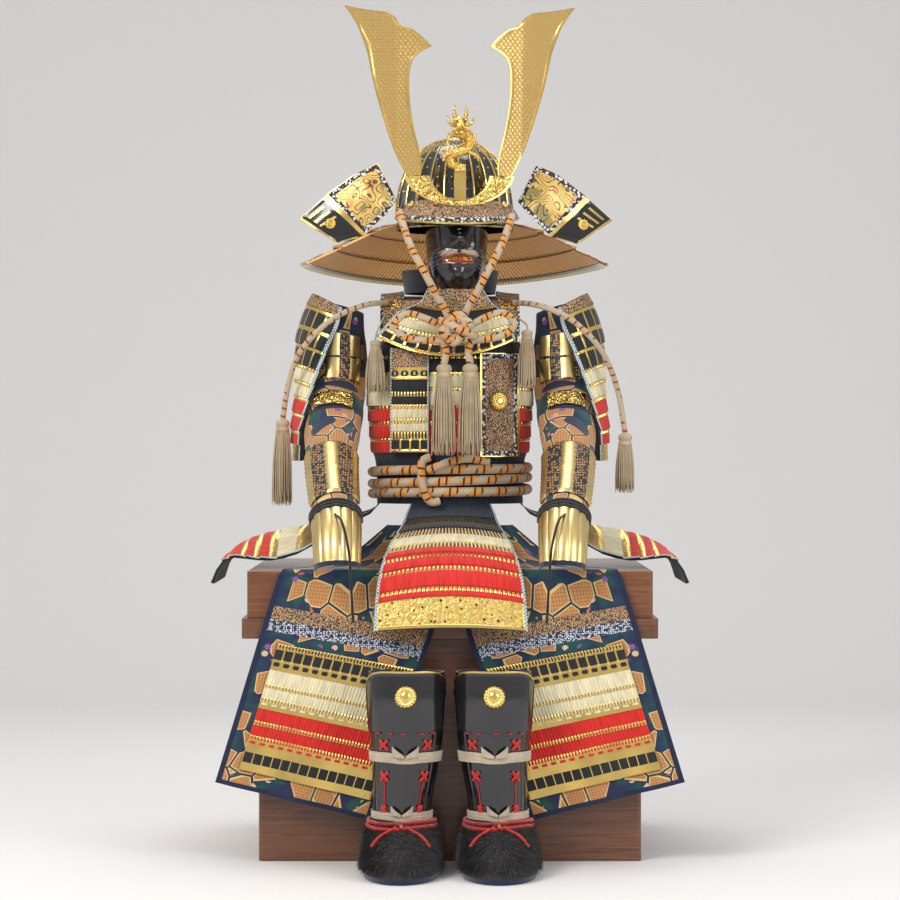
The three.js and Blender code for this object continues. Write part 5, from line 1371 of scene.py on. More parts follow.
def fur_tree():
    """Geometry nodes: short stiff hairs scattered over a surface, lying downward."""
    tree = bpy.data.node_groups.new("fur_blades", "GeometryNodeTree")
    tree.interface.new_socket("Surface", in_out="INPUT", socket_type="NodeSocketGeometry")
    for name, value in (("Density", 300000.0), ("Length", 0.015), ("Width", 0.0006)):
        socket = tree.interface.new_socket(name, in_out="INPUT", socket_type="NodeSocketFloat")
        socket.default_value = value
    tree.interface.new_socket("Fur", in_out="INPUT", socket_type="NodeSocketMaterial")
    tree.interface.new_socket("Result", in_out="OUTPUT", socket_type="NodeSocketGeometry")
    given = make(tree, "NodeGroupInput").outputs
    scatter = make(tree, "GeometryNodeDistributePointsOnFaces",
        {"Mesh": given["Surface"], "Density": given["Density"], "Seed": 7})
    blade = make(tree, "GeometryNodeMeshCone", {"Vertices": 3, "Radius Top": 0.0,
        "Radius Bottom": given["Width"], "Depth": given["Length"]}, fill_type="NONE")
    stray = make(tree, "FunctionNodeRandomValue", {0: (-0.4, -0.5, -1.5), 1: (0.4, 0.1, -0.7), "Seed": 3},
        data_type="FLOAT_VECTOR")
    lie = make(tree, "ShaderNodeVectorMath", {0: scatter.outputs["Normal"], 1: stray.outputs[0]},
        operation="ADD").outputs[0]
    aim = make(tree, "FunctionNodeAlignRotationToVector", {"Vector": lie}, axis="Z").outputs[0]
    size = make(tree, "FunctionNodeRandomValue", {2: 0.6, 3: 1.15, "Seed": 5}, data_type="FLOAT")
    put = make(tree, "GeometryNodeInstanceOnPoints", {"Points": scatter.outputs["Points"],
        "Instance": blade.outputs["Mesh"], "Rotation": aim, "Scale": size.outputs[1]})
    real = make(tree, "GeometryNodeRealizeInstances", {"Geometry": put.outputs[0]})
    paint = make(tree, "GeometryNodeSetMaterial", {"Geometry": real.outputs[0], "Material": given["Fur"]})
    make(tree, "NodeGroupOutput", {"Result": paint.outputs[0]})
    return tree


def set_input(modifier, name, value):
    socket = next(s for s in modifier.node_group.interface.items_tree
        if s.name == name and s.in_out == "INPUT")
    modifier[socket.identifier] = value


fur = finish_of("black_fur", (0.011, 0.010, 0.010), 0.5, sheen=0.2)[0]
fur_blades = fur_tree()
for word, side in SIDES:
    us, zs = even(49), np.array([0, 2, 5, 8, 9.5, 16, 26, 38, 52, 64, 74])
    outside = boot_point(side, us, zs[:, None], np.where(zs < 8.5, 0.0, -2.2)[:, None])
    inside = boot_point(side, us, np.array([74, 60, 40, 20, 9])[:, None], -4.5)
    rings = np.concatenate([outside, inside])
    count = len(us)
    verts = rings.reshape(-1, 3).tolist()
    faces = net(len(rings), count)
    index = [1 if r < 3 or r >= len(zs) - 1 else 0 for r in range(len(rings) - 1) for c in range(count - 1)]
    for row, flip in ((0, True), (len(rings) - 1, False)):
        verts.append(list(rings[row].mean(axis=0)))
        for c in range(count - 1):
            face = (row * count + c, row * count + c + 1, len(verts) - 1)
            faces.append(face[::-1] if flip else face)
            index.append(1)
    shoe = piece("boot_skin", verts, faces, [fur, navy], index, sharp=50)
    coat_z = np.array([17, 26, 38, 52, 64, 73])
    coat = boot_point(side, us, coat_z[:, None], -2.6)
    mesh = bpy.data.meshes.new("boot_fur")
    mesh.from_pydata((coat.reshape(-1, 3) * MM).tolist(), [], net(len(coat_z), count))
    hair = add("boot_fur", mesh)
    grow = hair.modifiers.new("fur", "NODES")
    grow.node_group = fur_blades
    set_input(grow, "Fur", fur)
    settle(hair)
    cords = []
    for z, radius in ((67, 2.8), (72.5, 2.6)):
        ring = [boot_point(side, t, z + 1.2 * math.sin(12 * t), 0.5) for t in even(60)]
        cords.append(tube("ankle_cord", ring, radius, red_cord, 8))
    for lean in (-1, 1):
        droop, _ = spline([boot_point(side, (lean * 0.02) % 1, 69.0, 4.0),
            boot_point(side, (lean * 0.09) % 1, 58.0, 6.5),
            boot_point(side, (lean * 0.13) % 1, 46.0, 4.5)], 3)
        cords.append(tube("ankle_end", droop, 2.2, red_cord, 8))
    cords.append(boss("ankle_bead", boot_point(side, 0.0, 70.0, 5.0), (0, -1, 0.2), 3.4, 8, 4))
    boot = join(f"boot_fur_{word}", [shoe, hair] + cords)
    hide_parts(f"boot_{word}")


# Helmet bowl: black lacquered iron with standing ribs and studs, gilt along the ribs and round the rim,
# and a gilt fitting on the crown. It sits on the stand's head block, turned a little.
HEAD = {"turn": math.radians(4), "x": 7, "y": -25}
BOWL = {"wide": 91, "long": 105, "band": 976, "rim": 958, "height": 122, "power": 2.25, "ribs": 24}


def head(x, y, z):
    c, s = math.cos(HEAD["turn"]), math.sin(HEAD["turn"])
    return points(HEAD["x"] + x * c - y * s, HEAD["y"] + x * s + y * c, z)


def bowl_point(angle, z, out):
    t = held((z - BOWL["band"]) / BOWL["height"])
    k = (1 - t ** BOWL["power"]) ** (1 / BOWL["power"])
    return head((BOWL["wide"] * k + out) * np.sin(angle), -(BOWL["long"] * k + out) * np.cos(angle), z)


def bowl_surface(u, v):
    rise = np.radians(84) * held((v - 0.1) / 0.9)
    z = np.where(v < 0.1, BOWL["rim"] + (BOWL["band"] - BOWL["rim"]) * v / 0.1,
        BOWL["band"] + BOWL["height"] * np.sin(rise) ** (2 / BOWL["power"]))
    return bowl_point(math.tau * u, z, -2.4)


rib_turns = np.arange(BOWL["ribs"]) / BOWL["ribs"]
bowl_us = np.unique(
    np.round(np.concatenate([[0, 1]]
    + [(rib_turns[:, None] + np.array([-0.0042, -0.0026, -0.001, 0.001, 0.0026, 0.0042, 0.014, 0.0208])
    + 1e-9).ravel() % 1]), 6))
bowl_vs = np.concatenate([[0, 0.012, 0.05, 0.09, 0.1], np.linspace(0.14, 1, 23)])
rib_gap = lambda u: np.abs((u * BOWL["ribs"] + 0.5) % 1 - 0.5) / BOWL["ribs"]
bowl_wall = shell("bowl_wall", bowl_surface, bowl_us, bowl_vs, 2.4, [black, gilt], 1,
    raised=lambda u, v: np.where(v > 0.095, 2.0 * held(1.3 - rib_gap(u) / 0.0027) * held(9 * (1 - v)), 0.0)
    + np.where(v < 0.02, 1.0, 0), back=(49, 9), closed=True,
    paint=lambda u, v: np.where((v > 0.1) & (rib_gap(u) < 0.0028) | (v < 0.03), 1, 0))
stud_places, stud_ways = [], []
for u in rib_turns + 0.5 / BOWL["ribs"]:
    for v in np.linspace(0.17, 0.86, 8):
        p = bowl_surface(u, v)
        way = outward(bowl_surface, u, v, True)
        stud_places.append(p + way * 2.6)
        stud_ways.append(way)
crown = head(0, 0, BOWL["band"] + BOWL["height"] - 1.5)
bowl = join("helmet_bowl_ribbed", [bowl_wall, beads("bowl_studs", stud_places, stud_ways, 1.7, gilt),
    boss("crown_ring", crown, (0, 0, 1), 21, 16, 5)])
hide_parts("helmet_bowl")


# Visor: a brim of iron under printed leather, with stitching and a gilt rim.
def visor_surface(u, v):
    a = np.radians(64) * (1 - 2 * u)
    middle = np.cos(a) ** 2
    k = (1 - ((1000 - BOWL["band"]) / BOWL["height"]) ** BOWL["power"]) ** (1 / BOWL["power"])
    reach = (10 + 20 * middle) * v
    return head((BOWL["wide"] * k + 2.1 + reach) * np.sin(a), -(BOWL["long"] * k + 2.1 + reach) * np.cos(a),
        1000 - 8 * (1 - middle) - v * (18 + 26 * middle))


visor_us = np.concatenate([[0, 0.008, 0.022, 0.05], np.linspace(0.08, 0.92, 41), [0.95, 0.978, 0.992, 1]])
visor = shell("visor_printed", visor_surface, visor_us,
    [0, 0.15, 0.3, 0.45, 0.6, 0.73, 0.78, 0.87, 0.9, 0.93, 0.96, 1], 1.8,
    [leather, black_white, gilt, black], 1,
    raised=lambda u, v: np.where((v > 0.92) | (inset(u) < 0.015), 1.4, 0.0) + 0.5
    * np.sin(math.pi * held((v - 0.76) / 0.14)), back=(25, [0, 0.5, 1]),
    paint=lambda u, v: np.where((v > 0.9) | (inset(u) < 0.015), 2,
    np.where((v > 0.75) | (inset(u) < 0.05), 1, 0)), inside=3)
nails = []
for u in (0.13, 0.34, 0.66, 0.87):
    way = outward(visor_surface, u, 0.16, False)
    nails.append(boss("visor_nail", visor_surface(u, 0.16) + 3.2 * way, way, 5.5, 8, 3))
visor = join("visor_printed", [visor] + nails)
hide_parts("visor")


# Neck guard: three flaring tiers. Outside each is black with gilt rims and lacing holes; inside they are
# lacquered copper orange, in fine ribs.
def ribbed_lacquer(name, colour=(0.86, 0.47, 0.13), dark=(0.30, 0.10, 0.025), pitch=0.0065):
    material, tree, shader = finish_of(name, colour, 0.34, metal=0.45)
    where = axes(tree, place(tree, "UV"))
    rib = op(tree, "ABSOLUTE", op(tree, "SINE", op(tree, "MULTIPLY", where[0], math.pi / pitch)))
    # Painted shade and highlight: the copper is dark in the hollows between the ribs and bright on their
    # crests. Its bright base is partly the lacquer's own colour, partly painted light for the underside,
    # which lies in shadow.
    tint(tree, shader, mix(tree, op(tree, "POWER", rib, 0.6), dark, colour))
    bump(tree, shader, rib, 0.0014)
    return material


copper = ribbed_lacquer("copper_lacquer")
NECK_TIERS = [
    # inner, outer, inner z, outer z, end angle
    (92.3, 140, 966, 947, 60), (135, 190, 946.3, 915, 68), (185, 240, 914.3, 882, 75),
]
TIER_FINISHES = {**LACED, "copper": copper, "stitched": black_white}


def tier_surface(tier):
    inner, outer, inner_z, outer_z, end = tier

    def surface(u, v):
        a = np.radians(end + (360 - 2 * end) * u)
        r = inner + (outer - inner) * v
        share = (r - 93) / 147
        z = inner_z + (outer_z - inner_z) * v + 20 * share * np.sin(a) ** 2
        return head(r * np.sin(a), -(r + 14 * (1 - share)) * np.cos(a), z)
    return surface


for i, tier in enumerate(NECK_TIERS):
    rows = [[(20, "plain", "black"), (3, "rim", "gilt")],
        [(10, "squares", "dark", "gilt"), (5, "plain", "black")],
        [(5, "plain", "stitched"), (2.5, "rim", "gilt")]]
    count = (60, 78, 93)[i]
    wall = laced(f"neck_guard_tier_{i + 1}", tier_surface(tier), rows, TIER_FINISHES, count, 2.0, -1,
        lift=0.6, inside="copper", back_columns=72)
    if i == 2:
        rim = shell("neck_guard_edge", lambda u, v: tier_surface(tier)(u, 0.76 + 0.235 * v), even(373),
            [0, 0.42, 0.46, 0.92, 1], 0.8, [black, gilt], 1, start=0.2, back=(94, [0, 1]),
            paint=lambda u, v: np.where((v > 0.44) & ((u * 186) % 1 < 0.5), 1, 0))
        wall = join("neck_guard_tier_edged", [wall, rim])
    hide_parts(f"neck_guard_{i + 1}")


# Turn-backs: the front ends of the neck guard rolled back beside the brow. The first is covered with
# printed gold leather inside a stitched edge; the second shows its enamelled squares.
def cloud_print(name):
    """Gold ground with bands of scrolling clouds in dark line, touched with red, green and white."""
    material, tree, shader = finish_of(name, (0.72, 0.48, 0.14), 0.4, metal=0.35)
    where = place(tree)
    swirl = noise(tree, where, 34.0, 1.2, 0.45)
    rings = op(tree, "FRACT", op(tree, "MULTIPLY", swirl, 13.0))
    line = op(tree, "LESS_THAN", rings, 0.26)
    gold = mix(tree, noise(tree, where, 12.0), (0.52, 0.30, 0.07), (0.80, 0.57, 0.19))
    patches = noise(tree, place(tree, turn=(0.4, 0.2, 0.9)), 26.0, 1.0)
    touch = ramp(tree, patches, [(0.36, (0.05, 0.12, 0.07)), (0.41, (0.72, 0.48, 0.14)),
        (0.58, (0.72, 0.48, 0.14)), (0.63, (0.48, 0.05, 0.025)), (0.70, (0.75, 0.70, 0.58))])
    ground = mix(tree, 0.55, gold, touch)
    tint(tree, shader, mix(tree, op(tree, "MULTIPLY", line, 0.85), ground, (0.055, 0.03, 0.018)))
    bump(tree, shader, rings, 0.0004, 0.5)
    return material


gold_print = cloud_print("gold_print")
TURNBACK = columns([
    # v, upper x, upper z, lower x, lower z, y
    (0, 122, 1054, 96, 999, -58), (0.35, 155, 1039, 118, 971, -66), (0.7, 207, 1002, 146, 945, -55),
    (1, 242, 970, 188, 934, -56),
], ("ux", "uz", "lx", "lz", "y"), soft=0.05)
turn_us = np.concatenate([[0, 0.01, 0.03, 0.06], np.linspace(0.1, 0.9, 17), [0.94, 0.97, 0.99, 1]])
turn_vs = np.concatenate([[0, 0.008, 0.02, 0.05, 0.06], np.linspace(0.1, 0.56, 17),
    [0.6, 0.612, 0.64, 0.652, 0.66, 0.69, 0.7, 0.712, 0.72],
    np.linspace(0.75, 0.94, 9), [0.965, 0.975, 0.99, 1]])
for word, side in SIDES:
    def turn_surface(u, v):
        x = TURNBACK["ux"](v) + (TURNBACK["lx"](v) - TURNBACK["ux"](v)) * u
        z = TURNBACK["uz"](v) + (TURNBACK["lz"](v) - TURNBACK["uz"](v)) * u
        return head(side * x, TURNBACK["y"](v) + 12 * (1 - u) ** 2 - 5 * hump(u), z)

    def turn_relief(u, v):
        first = v < 0.655
        rim = (inset(u) < 0.035) | (v < 0.022) | (np.abs(v - 0.647) < 0.009) | (v > 0.97)
        return np.where(first, 3.0, 0.0) + np.where(rim, 1.0, 0.0)

    def turn_paint(u, v):
        first = v < 0.655
        rim = (inset(u) < 0.02) | (v < 0.012) | ((v > 0.635) & (v < 0.7)) | (v > 0.982)
        stitched = (inset(u) < 0.1) | (v < 0.06) | ((v > 0.605) & first)
        squares = np.where((u * 7) % 1 < 0.8, 3, 2)
        squares = np.where((np.abs(v - 0.84) < 0.1), squares, 3)
        return np.where(rim, 2, np.where(first, np.where(stitched, 1, 0), squares))
    turned = shell(f"turnback_plate_{word}", turn_surface, turn_us, turn_vs, 2.4,
        [gold_print, black_white, gilt, black],
        side, raised=turn_relief, back=(13, 25), paint=turn_paint, inside=3)
    centre = turn_surface(0.5, 0.85)
    way = outward(turn_surface, 0.5, 0.85, False) * side
    turned = join(f"turnback_plates_{word}",
        [turned, boss("turnback_boss", centre + way * 2.6, way, 9, 12, 5)])
    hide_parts(f"turnback_{word}")


# Crest: gilt copper base chased with scrolls in front of the bowl, and two broad horns of thin gilt
# plate with a raised net, each slid into a socket of the base.
CREST = {"y": -118, "z": 1042, "opening": 46, "outer_x": 84, "outer_z": 55, "horns": 1034}
crest_depth = lambda x: CREST["y"] + x * x / 420


def crest_surface(u, v):
    a = math.pi * (1.05 + 0.9 * u)
    x = (CREST["opening"] + (CREST["outer_x"] - CREST["opening"]) * v) * np.cos(a)
    z = CREST["z"] + (CREST["opening"] + (CREST["outer_z"] - CREST["opening"]) * v) * np.sin(a)
    return head(x, crest_depth(x), np.minimum(CREST["horns"] - 0.3, z))


crest_us = np.concatenate([[0, 0.01, 0.03], np.linspace(0.06, 0.94, 61), [0.97, 0.99, 1]])
crest_vs = [0, 0.05, 0.12, 0.14, 0.3, 0.5, 0.7, 0.86, 0.88, 0.95, 1]
crest_rim = lambda u, v: (np.abs(v - 0.5) > 0.37) | (inset(u) < 0.012)
crest_plate = shell("crest_plate", crest_surface, crest_us, crest_vs, 2.4, [gilt_scrolls, gilt], -1,
    raised=lambda u, v: np.where(crest_rim(u, v), 1.2, 0.0),
    back=(31, [0, 0.5, 1]),
    paint=lambda u, v: np.where(crest_rim(u, v), 1, 0))


def tongue_surface(u, v):
    return head(-9 + 18 * u, CREST["y"], 990 + 53 * v)


tongue = shell("crest_tongue", tongue_surface, even(5), even(9), 2.2, [gilt], 1)
nails = [boss("crest_nail", head(x, crest_depth(x) - 3.2, 1020), (0, -1, 0), 6, 8, 3) for x in (-60, 60)]
crest = join("crest_base_scrolled", [crest_plate, tongue] + nails)
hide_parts("crest_base")


def netted_gilt(name):
    """Gilt plate with a raised diamond net, a dot in every mesh. The colour follows the relief as painted
    light and shade: the net and dots lighter, the sunken fields darker.
    """
    material, tree, shader = finish_of(name, (0.86, 0.62, 0.24), 0.36, metal=0.6)
    where = axes(tree, place(tree))
    x, z = where[0], where[2]
    one = op(tree, "PINGPONG", op(tree, "MULTIPLY_ADD", x, 1.35, z), 0.0048)
    two = op(tree, "PINGPONG", op(tree, "MULTIPLY_ADD", x, -1.35, z), 0.0048)
    near = op(tree, "DIVIDE", op(tree, "MINIMUM", one, two), 0.0048)
    mesh = op(tree, "SUBTRACT", 1.0, op(tree, "MINIMUM", op(tree, "MULTIPLY", near, 4.0), 1.0))
    dot = op(tree, "GREATER_THAN", op(tree, "ADD", one, two), 0.0078)
    height = op(tree, "MAXIMUM", mesh, op(tree, "MULTIPLY", dot, 0.8))
    # Painted highlight on the raised net and dots, painted shade in the fields between them.
    tint(tree, shader, mix(tree, height, (0.52, 0.33, 0.10), (0.95, 0.72, 0.30)))
    bump(tree, shader, height, 0.0011)
    return material


gilt_net = netted_gilt("gilt_net")
HORN = [
    # outer x, outer z, inner x, inner z
    (80, 1034.2, 59, 1034.2), (93, 1055, 56, 1058), (105, 1086, 67, 1089), (117, 1121, 75, 1130),
    (131, 1169, 79, 1176),
    (136, 1194, 76, 1201), (140, 1216, 71, 1213), (143, 1226, 58, 1222), (146, 1235, 44, 1229),
    (148, 1240, 57, 1243),
    (150, 1245, 72, 1255), (153, 1253, 90, 1261), (157, 1262, 99, 1275), (162, 1270, 112, 1282),
    (169, 1281, 143, 1285), (177, 1291, 176, 1291),
]
horn_rows = np.linspace(0, len(HORN) - 1, 6 * (len(HORN) - 1) + 1)
horn_edges = [np.interp(horn_rows, range(len(HORN)), [row[k] for row in HORN]) for k in range(4)]
# The sweep of the plate is rounded; the barb and the tip keep their corners.
eased_share = held((42 - horn_rows * 6) / 12) * held(horn_rows)
for k, edge in enumerate(horn_edges):
    eased = np.convolve(np.pad(edge, 5, mode="edge"), np.ones(11) / 11, "valid")
    horn_edges[k] = edge + (eased - edge) * eased_share
for word, side in SIDES:
    def horn_surface(u, v):
        ox, oz, ix, iz = [np.interp(v * (len(HORN) - 1), horn_rows, edge) for edge in horn_edges]
        x, z = ox + (ix - ox) * u, oz + (iz - oz) * u
        y = crest_depth(np.minimum(x, 95)) - 1.2 - 0.09 * (z - CREST["horns"]) + 1.7
        return head(side * x, y, z)

    def horn_plate(u, v):
        """Straight toward the front, so that the flat plate keeps its outline."""
        return np.where(inset(u) < 0.075, 0.9, 0.0) - np.where(inset(u) < 0.004, 1.6, 0.0) \
            - 0.35 * hump(u)
    horn_us = np.concatenate([[0, 0.012, 0.03, 0.065, 0.09], np.linspace(0.15, 0.85, 9),
        [0.91, 0.935, 0.97, 0.988, 1]])
    horn = shell(f"horn_netted_{word}", horn_surface, horn_us, horn_rows / (len(HORN) - 1), 3.4,
        [gilt_net, gilt], raised=horn_plate, paint=lambda u, v: np.where(inset(u) < 0.08, 1, 0), inside=1,
        sharp=30, way=(0, -1, 0))
    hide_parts(f"horn_{word}")


# Crest ornament: a small coiled dragon of carved gilt wood with two horns, whiskers and a spiked back.
def taper(name, control, radii, finish, sides=12, step=0.9, scale=0.0):
    """A round body along a curve with its own radius at each place, with rows of scales if asked."""
    line, length = spline([tuple(head(*p)) for p in control], step)
    share = even(len(line))
    radius = np.interp(share, even(len(radii)), radii)
    if scale:
        radius = radius * (1 + scale * np.abs(np.sin(share * length / 3.4 * math.pi)))
    return tube(name, line, radius, finish, sides)


dragon_y = CREST["y"] - 9
old_gold = gilding("old_gold", "punched", 0.3, (0.72, 0.46, 0.12))
dragon_parts = [
    taper("coil", [(2, dragon_y + 3, 1046), (-13, dragon_y, 1050), (-15, dragon_y - 2, 1064),
    (2, dragon_y - 5, 1070),
    (14, dragon_y - 3, 1078), (12, dragon_y - 2, 1092), (-2, dragon_y - 4, 1098), (-4, dragon_y - 8, 1108)],
    [4, 6, 7.5, 8, 8, 8, 8, 8, 7.5, 6.5], old_gold, 16, 0.8, 0.1),
    taper("dragon_head", [(-3, dragon_y - 3, 1115), (-2, dragon_y - 10, 1112), (-1, dragon_y - 17, 1108),
    (0, dragon_y - 25, 1105)],
    [4, 9, 10.5, 8.5, 7, 7.5, 4], old_gold, 16, 0.8),
    taper("jaw", [(-2, dragon_y - 8, 1103), (-1, dragon_y - 16, 1098), (0, dragon_y - 23, 1097)],
    [6, 5, 5, 2.5], old_gold, 10, 1.0),
]
for side in (-1, 1):
    for control, radii in (
        ([(4, -4, 1114), (9, 0, 1126), (8, 3, 1141)], [3.6, 3, 1]),
        ([(6, -6, 1108), (16, -6, 1112), (21, -4, 1124)], [3.2, 2.6, 0.8]),
        ([(2, -3, 1096), (17, -8, 1092), (21, -10, 1078)], [4, 3.4, 1.8]),
        ([(3, -24, 1104), (12, -27, 1100), (17, -22, 1092), (21, -22, 1097)], [1.6, 1.3, 0.6]),
        ([(7, -14, 1114), (10, -15, 1118)], [3.0, 1.4]),
        ([(12, -9, 1068), (24, -10, 1062), (27, -11, 1054)], [3.6, 3.0, 1.4]),
    ):
        dragon_parts.append(taper("spike", [(side * x, dragon_y + y, z) for x, y, z in control], radii,
            old_gold, 8, 1.2))
    dragon_parts.append(beads("dragon_eye", [head(side * 5.5, dragon_y - 18, 1113.5)],
        [(side * 0.6, -0.7, 0.4)], 2.2, black))
for x, z, way in ((-22, 1056, -1), (-23, 1068, -1), (21, 1078, 1), (20, 1090, 1), (-10, 1106, -1),
        (6, 1080, 1)):
    dragon_parts.append(taper("mane", [(x - way * 4, dragon_y - 4, z), (x + way * 2, dragon_y - 4, z + 3),
        (x + way * 5, dragon_y - 3, z + 8)],
        [2.6, 2.2, 0.5], old_gold, 6, 1.2))
foot = [shell("dragon_foot", lambda u, v: head(-8 + 16 * u, CREST["y"] - 3.2, 1040 + 10 * v), even(7),
    even(5), 8.6, [old_gold], 1)]
dragon = join("dragon_carved", dragon_parts + foot)
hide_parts("dragon")


# Half mask of iron: glossy black with wrinkled cheeks, red-brown lips, gilt teeth and a pale moustache of
# short bristles. It is a plain stern face, hollow behind.
MASK = {"half": 46, "depth": 56, "y": -45, "top": 957.4, "bottom": 864}
MASK_FORMS = [
    # out, x, z, wide, high
    (20, 0, 938, 9, 12), (5, 0, 917, 26, 4), (-5, 0, 908, 22, 4), (8, 0, 884, 18, 12), (5, 30, 925, 12, 12),
    (5, -30, 925, 12, 12), (2.6, 8, 931, 4, 5), (2.6, -8, 931, 4, 5), (2.2, 0, 900, 20, 3),
    (1.2, 20, 902, 5, 14), (1.2, -20, 902, 5, 14),
]


def mask_surface(u, v):
    a = np.radians(100) * (1 - 2 * u)
    z = MASK["top"] - (MASK["top"] - MASK["bottom"]) * v
    chin = 1 - 0.38 * v ** 3
    x = MASK["half"] * chin * np.sin(a)
    form = sum(out * np.exp(-((x - cx) / wide) ** 2 - ((z - cz) / high) ** 2) for out, cx, cz, wide,
        high in MASK_FORMS)
    wrinkle = 0.9 * np.sin((np.abs(x) * 0.8 + z * 1.1) * 0.9) * np.exp(-((np.abs(x) - 30) / 9) ** 2
        - ((z - 912) / 20) ** 2)
    return head(x, MASK["y"] - MASK["depth"] * (chin + 0.06) * np.cos(a) - (form + wrinkle)
        * held(np.cos(a)), z)


lip_red = lacquer("lip_lacquer", (0.16, 0.022, 0.012), 0.22)
bristle = cloth("pale_bristle", (0.55, 0.47, 0.33), 0.0009)


def mask_paint(u, v):
    place_ = mask_surface(u, v)
    x = (place_[..., 0] - HEAD["x"]) - 6
    z = place_[..., 2]
    mouth = (np.abs(z - 908.5) < 4.2) & (np.abs(x) < 19)
    lips = (np.abs(z - 908.5) < 8.5) & (np.abs(x) < 23)
    gap = (np.abs(z - 908.5) < 0.7) & (np.abs(x) < 19)
    tooth = mouth & ((np.abs(x) / 5.2) % 1 > 0.14)
    return np.where(gap | (mouth & ~tooth), 0, np.where(tooth, 2, np.where(lips, 1, 0)))


mask_wall = shell("mask_wall", mask_surface, even(121), even(91), 2.2, [black, lip_red, gilt], 1,
    back=(31, 17), paint=mask_paint, inside=1, sharp=70)
hairs = []
random = np.random.default_rng(11)
for side in (-1, 1):
    for i in range(34):
        u = 0.5 - side * random.uniform(0.015, 0.13)
        v = 0.415 + random.uniform(-0.02, 0.03)
        root = mask_surface(u, v) + np.array([0, -2.2, 0])
        tip = root + np.array([side * random.uniform(8, 16), -random.uniform(2, 5), -random.uniform(2, 8)])
        middle = (root + tip) / 2 + np.array([0, -2.0, 2.5])
        hairs.append(tube("bristle", np.array([root, middle, tip]), [0.5, 0.4, 0.12], bristle, 4))
mask = join("face_mask_stern", [mask_wall] + hairs)
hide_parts("face_mask")


# Cords of plaited silk: the helmet's chin cords tie in a bow on the breast; others hang the shoulder
# guards and close the hand guards. Tassels of many fine threads end them.
plait_orange = rope_finish("orange_beige_cord", stripe=0.0105, turn=30.0)
plait_beige = rope_finish("beige_cord", warm=(0.62, 0.47, 0.28), dark=(0.30, 0.06, 0.03), stripe=0.013,
    turn=10.0)
thin_black = cloth("thin_black_cord", (0.012, 0.012, 0.014), 0.0008)
CORDS = {
    "neck_cord_left": (5.8, plait_orange, "orange_cord", "medium", [
    (-78.6, -114.2, 982), (-60, -146, 926), (-36, -158, 880), (-20, -149, 850), (-9, -142.8, 832),
    (-1, -142.4, 814)]), "neck_cord_right": (5.8, plait_orange, "orange_cord", "medium", [
    (96, -117.8, 974.6), (78, -146, 926), (54, -158, 880), (38, -149, 850), (27, -142.8, 832),
    (19, -142.4, 814)]), "bow_cord_left": (5.6, plait_orange, "orange_cord", "medium", [
    (-2, -142.8, 797), (-36, -142.8, 815), (-68, -142, 822), (-85, -141, 806), (-72, -142, 788),
    (-40, -142.8, 782), (-14, -142.8, 781), (-6, -140, 766), (-9, -138, 746.6)]),
    "bow_cord_right": (5.6, plait_orange, "orange_cord", "medium", [
    (20, -142.8, 797), (52, -142.8, 816), (82, -142, 824), (98, -141, 808), (86, -142, 792),
    (56, -142.8, 784), (34, -142.8, 781), (28, -140, 766), (31, -138, 746.6)]),
    "shoulder_cord_left": (4.4, plait_beige, "beige_silk", "limp", [
    (-98, -49.5, 844), (-126, -80, 840), (-160, -94, 828), (-190, -98, 810), (-222, -96, 778),
    (-240, -84, 750), (-254, -66, 700), (-260, -62, 662.6)]),
    "shoulder_cord_right": (4.4, plait_beige, "beige_silk", "limp", [
    (98, -49.5, 844), (128, -80, 840), (164, -94, 828), (194, -98, 810), (226, -96, 778), (244, -84, 750),
    (262, -66, 700), (272, -62, 640.6)]),
    "wrist_cord_left": (2.0, thin_black, "black_cord", "limp", [
    (-170, -286, 520.4), (-160, -306, 511), (-149, -323, 470), (-145, -322, 415), (-142, -318, 362)]),
    "wrist_cord_right": (2.0, thin_black, "black_cord", "limp", [
    (170, -286, 520.4), (160, -306, 511), (149, -323, 470), (145, -322, 415), (142, -318, 362)]),
}


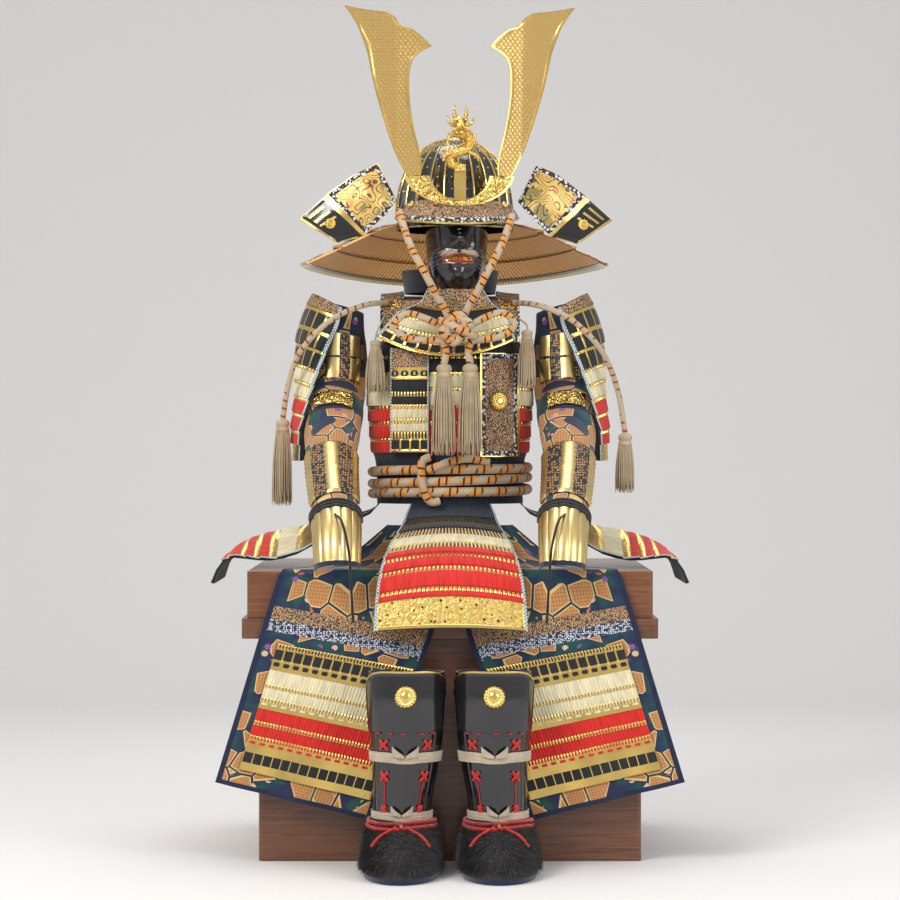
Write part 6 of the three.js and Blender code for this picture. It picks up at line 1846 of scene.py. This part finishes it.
def threads(name, top, head_radius, head_height, length, spread, finish, count=150, hanger=None):
    """Tassel: a bound head and a skirt of fine threads rooted in it."""
    x, y, z = top
    profile = [(0.3, 0.02), (0.8, -0.06), (1.0, -0.3), (0.96, -0.5), (0.8, -0.62), (0.88, -0.7),
        (1.02, -0.95), (0.9, -1.03), (0.2, -1.06)]
    line = np.array([(x, y, z + head_height * high) for _, high in profile])
    made = [tube("tassel_head", line, [head_radius * r for r, _ in profile], finish, 20)]
    for i in range(count):
        share = math.sqrt((i + 0.5) / count)
        a = i * 2.39996
        reach = length * (0.93 + 0.07 * math.cos(i * 1.7)) + 3 * math.sin(i * 5.1)
        lean = 1.4 * math.sin(i * 3.3)
        way = np.array([math.cos(a), math.sin(a), 0])
        root = np.array([x, y, z - head_height * 0.8]) + way * head_radius * 0.86 * share
        tip = np.array([x, y, z - reach]) + way * spread * share + np.array([lean, lean * 0.6, 0])
        middle = root + (tip - root) * np.array([0.62, 0.62, 0.4]) + way * 0.8
        control, _ = spline([root, middle, tip], reach / 9)
        made.append(tube("thread", control, [0.95] * (len(control) - 1) + [0.55], finish, 5))
    if hanger:
        loop_line, _ = spline([(x, y, z - 4), (x, y + 1, z + 6), hanger], 2)
        made.append(tube("hanger", loop_line, 1.5, finish, 8))
    return join(name, made)


tassel_silk = cloth("tassel_silk", (0.46, 0.355, 0.225), 0.0011, 0.8, 1.25)
TASSELS = {
    "tassel_left": ((-9, -138, 746), 12, 20, 138, 18, None),
    "tassel_right": ((31, -138, 746), 12, 20, 138, 18, None),
    "shoulder_tassel_left": ((-260, -62, 662), 11, 18, 132, 15, None),
    "shoulder_tassel_right": ((272, -62, 640), 11, 18, 90, 14, None),
    "chest_tassel_left": ((-115, -84, 784), 9, 15, 79, 15, (-102, -63.6, 822)),
    "chest_tassel_right": ((119, -90, 800), 9, 15, 88, 13, (102, -63.6, 822)),
}
for name, (top, radius, height, length, spread, hanger) in TASSELS.items():
    tassel = threads(f"{name}_threads", top, radius, height, length, spread, tassel_silk, hanger=hanger)
    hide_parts(name)

# Knot of the bow: the cords pass round each other in a flat double knot.
KNOT = {"x": 9, "y": -158, "z": 800}


def around(radius_x, radius_z, lean, depth, phase):
    a = np.linspace(phase, phase + math.tau, 49)
    x = radius_x * np.cos(a)
    z = radius_z * np.sin(a)
    return np.stack([KNOT["x"] + x * math.cos(lean) - z * math.sin(lean),
        KNOT["y"] + depth - 3.2 * np.cos(2 * a), KNOT["z"] + x * math.sin(lean) + z * math.cos(lean)], -1)


KNOT_TURNS = [
    # half width, half height, lean, depth, start
    (22, 10, 0.35, 2, 0.0), (11, 22, -0.25, 3, 0.8), (17, 15, 0.8, 5, 1.9),
]
knot = join("bow_knot_tied", [
    *[tube("knot_turn", around(*sizes), 6.0, plait_orange, 14) for sizes in KNOT_TURNS],
    tube("knot_band",
    spline([(-16, -152, 812), (0, -163, 806), (12, -168, 799), (30, -163, 792), (35, -152, 787)], 2)[0],
    6.2, plait_orange, 14),
])
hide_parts("bow_knot")

for name, (radius, finish, slot, stiffness, control) in CORDS.items():
    line, length = spline(control, 2.0)
    cord = tube(f"{name}_plaited", line, radius, finish, 14 if radius > 3 else 8)
    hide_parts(name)
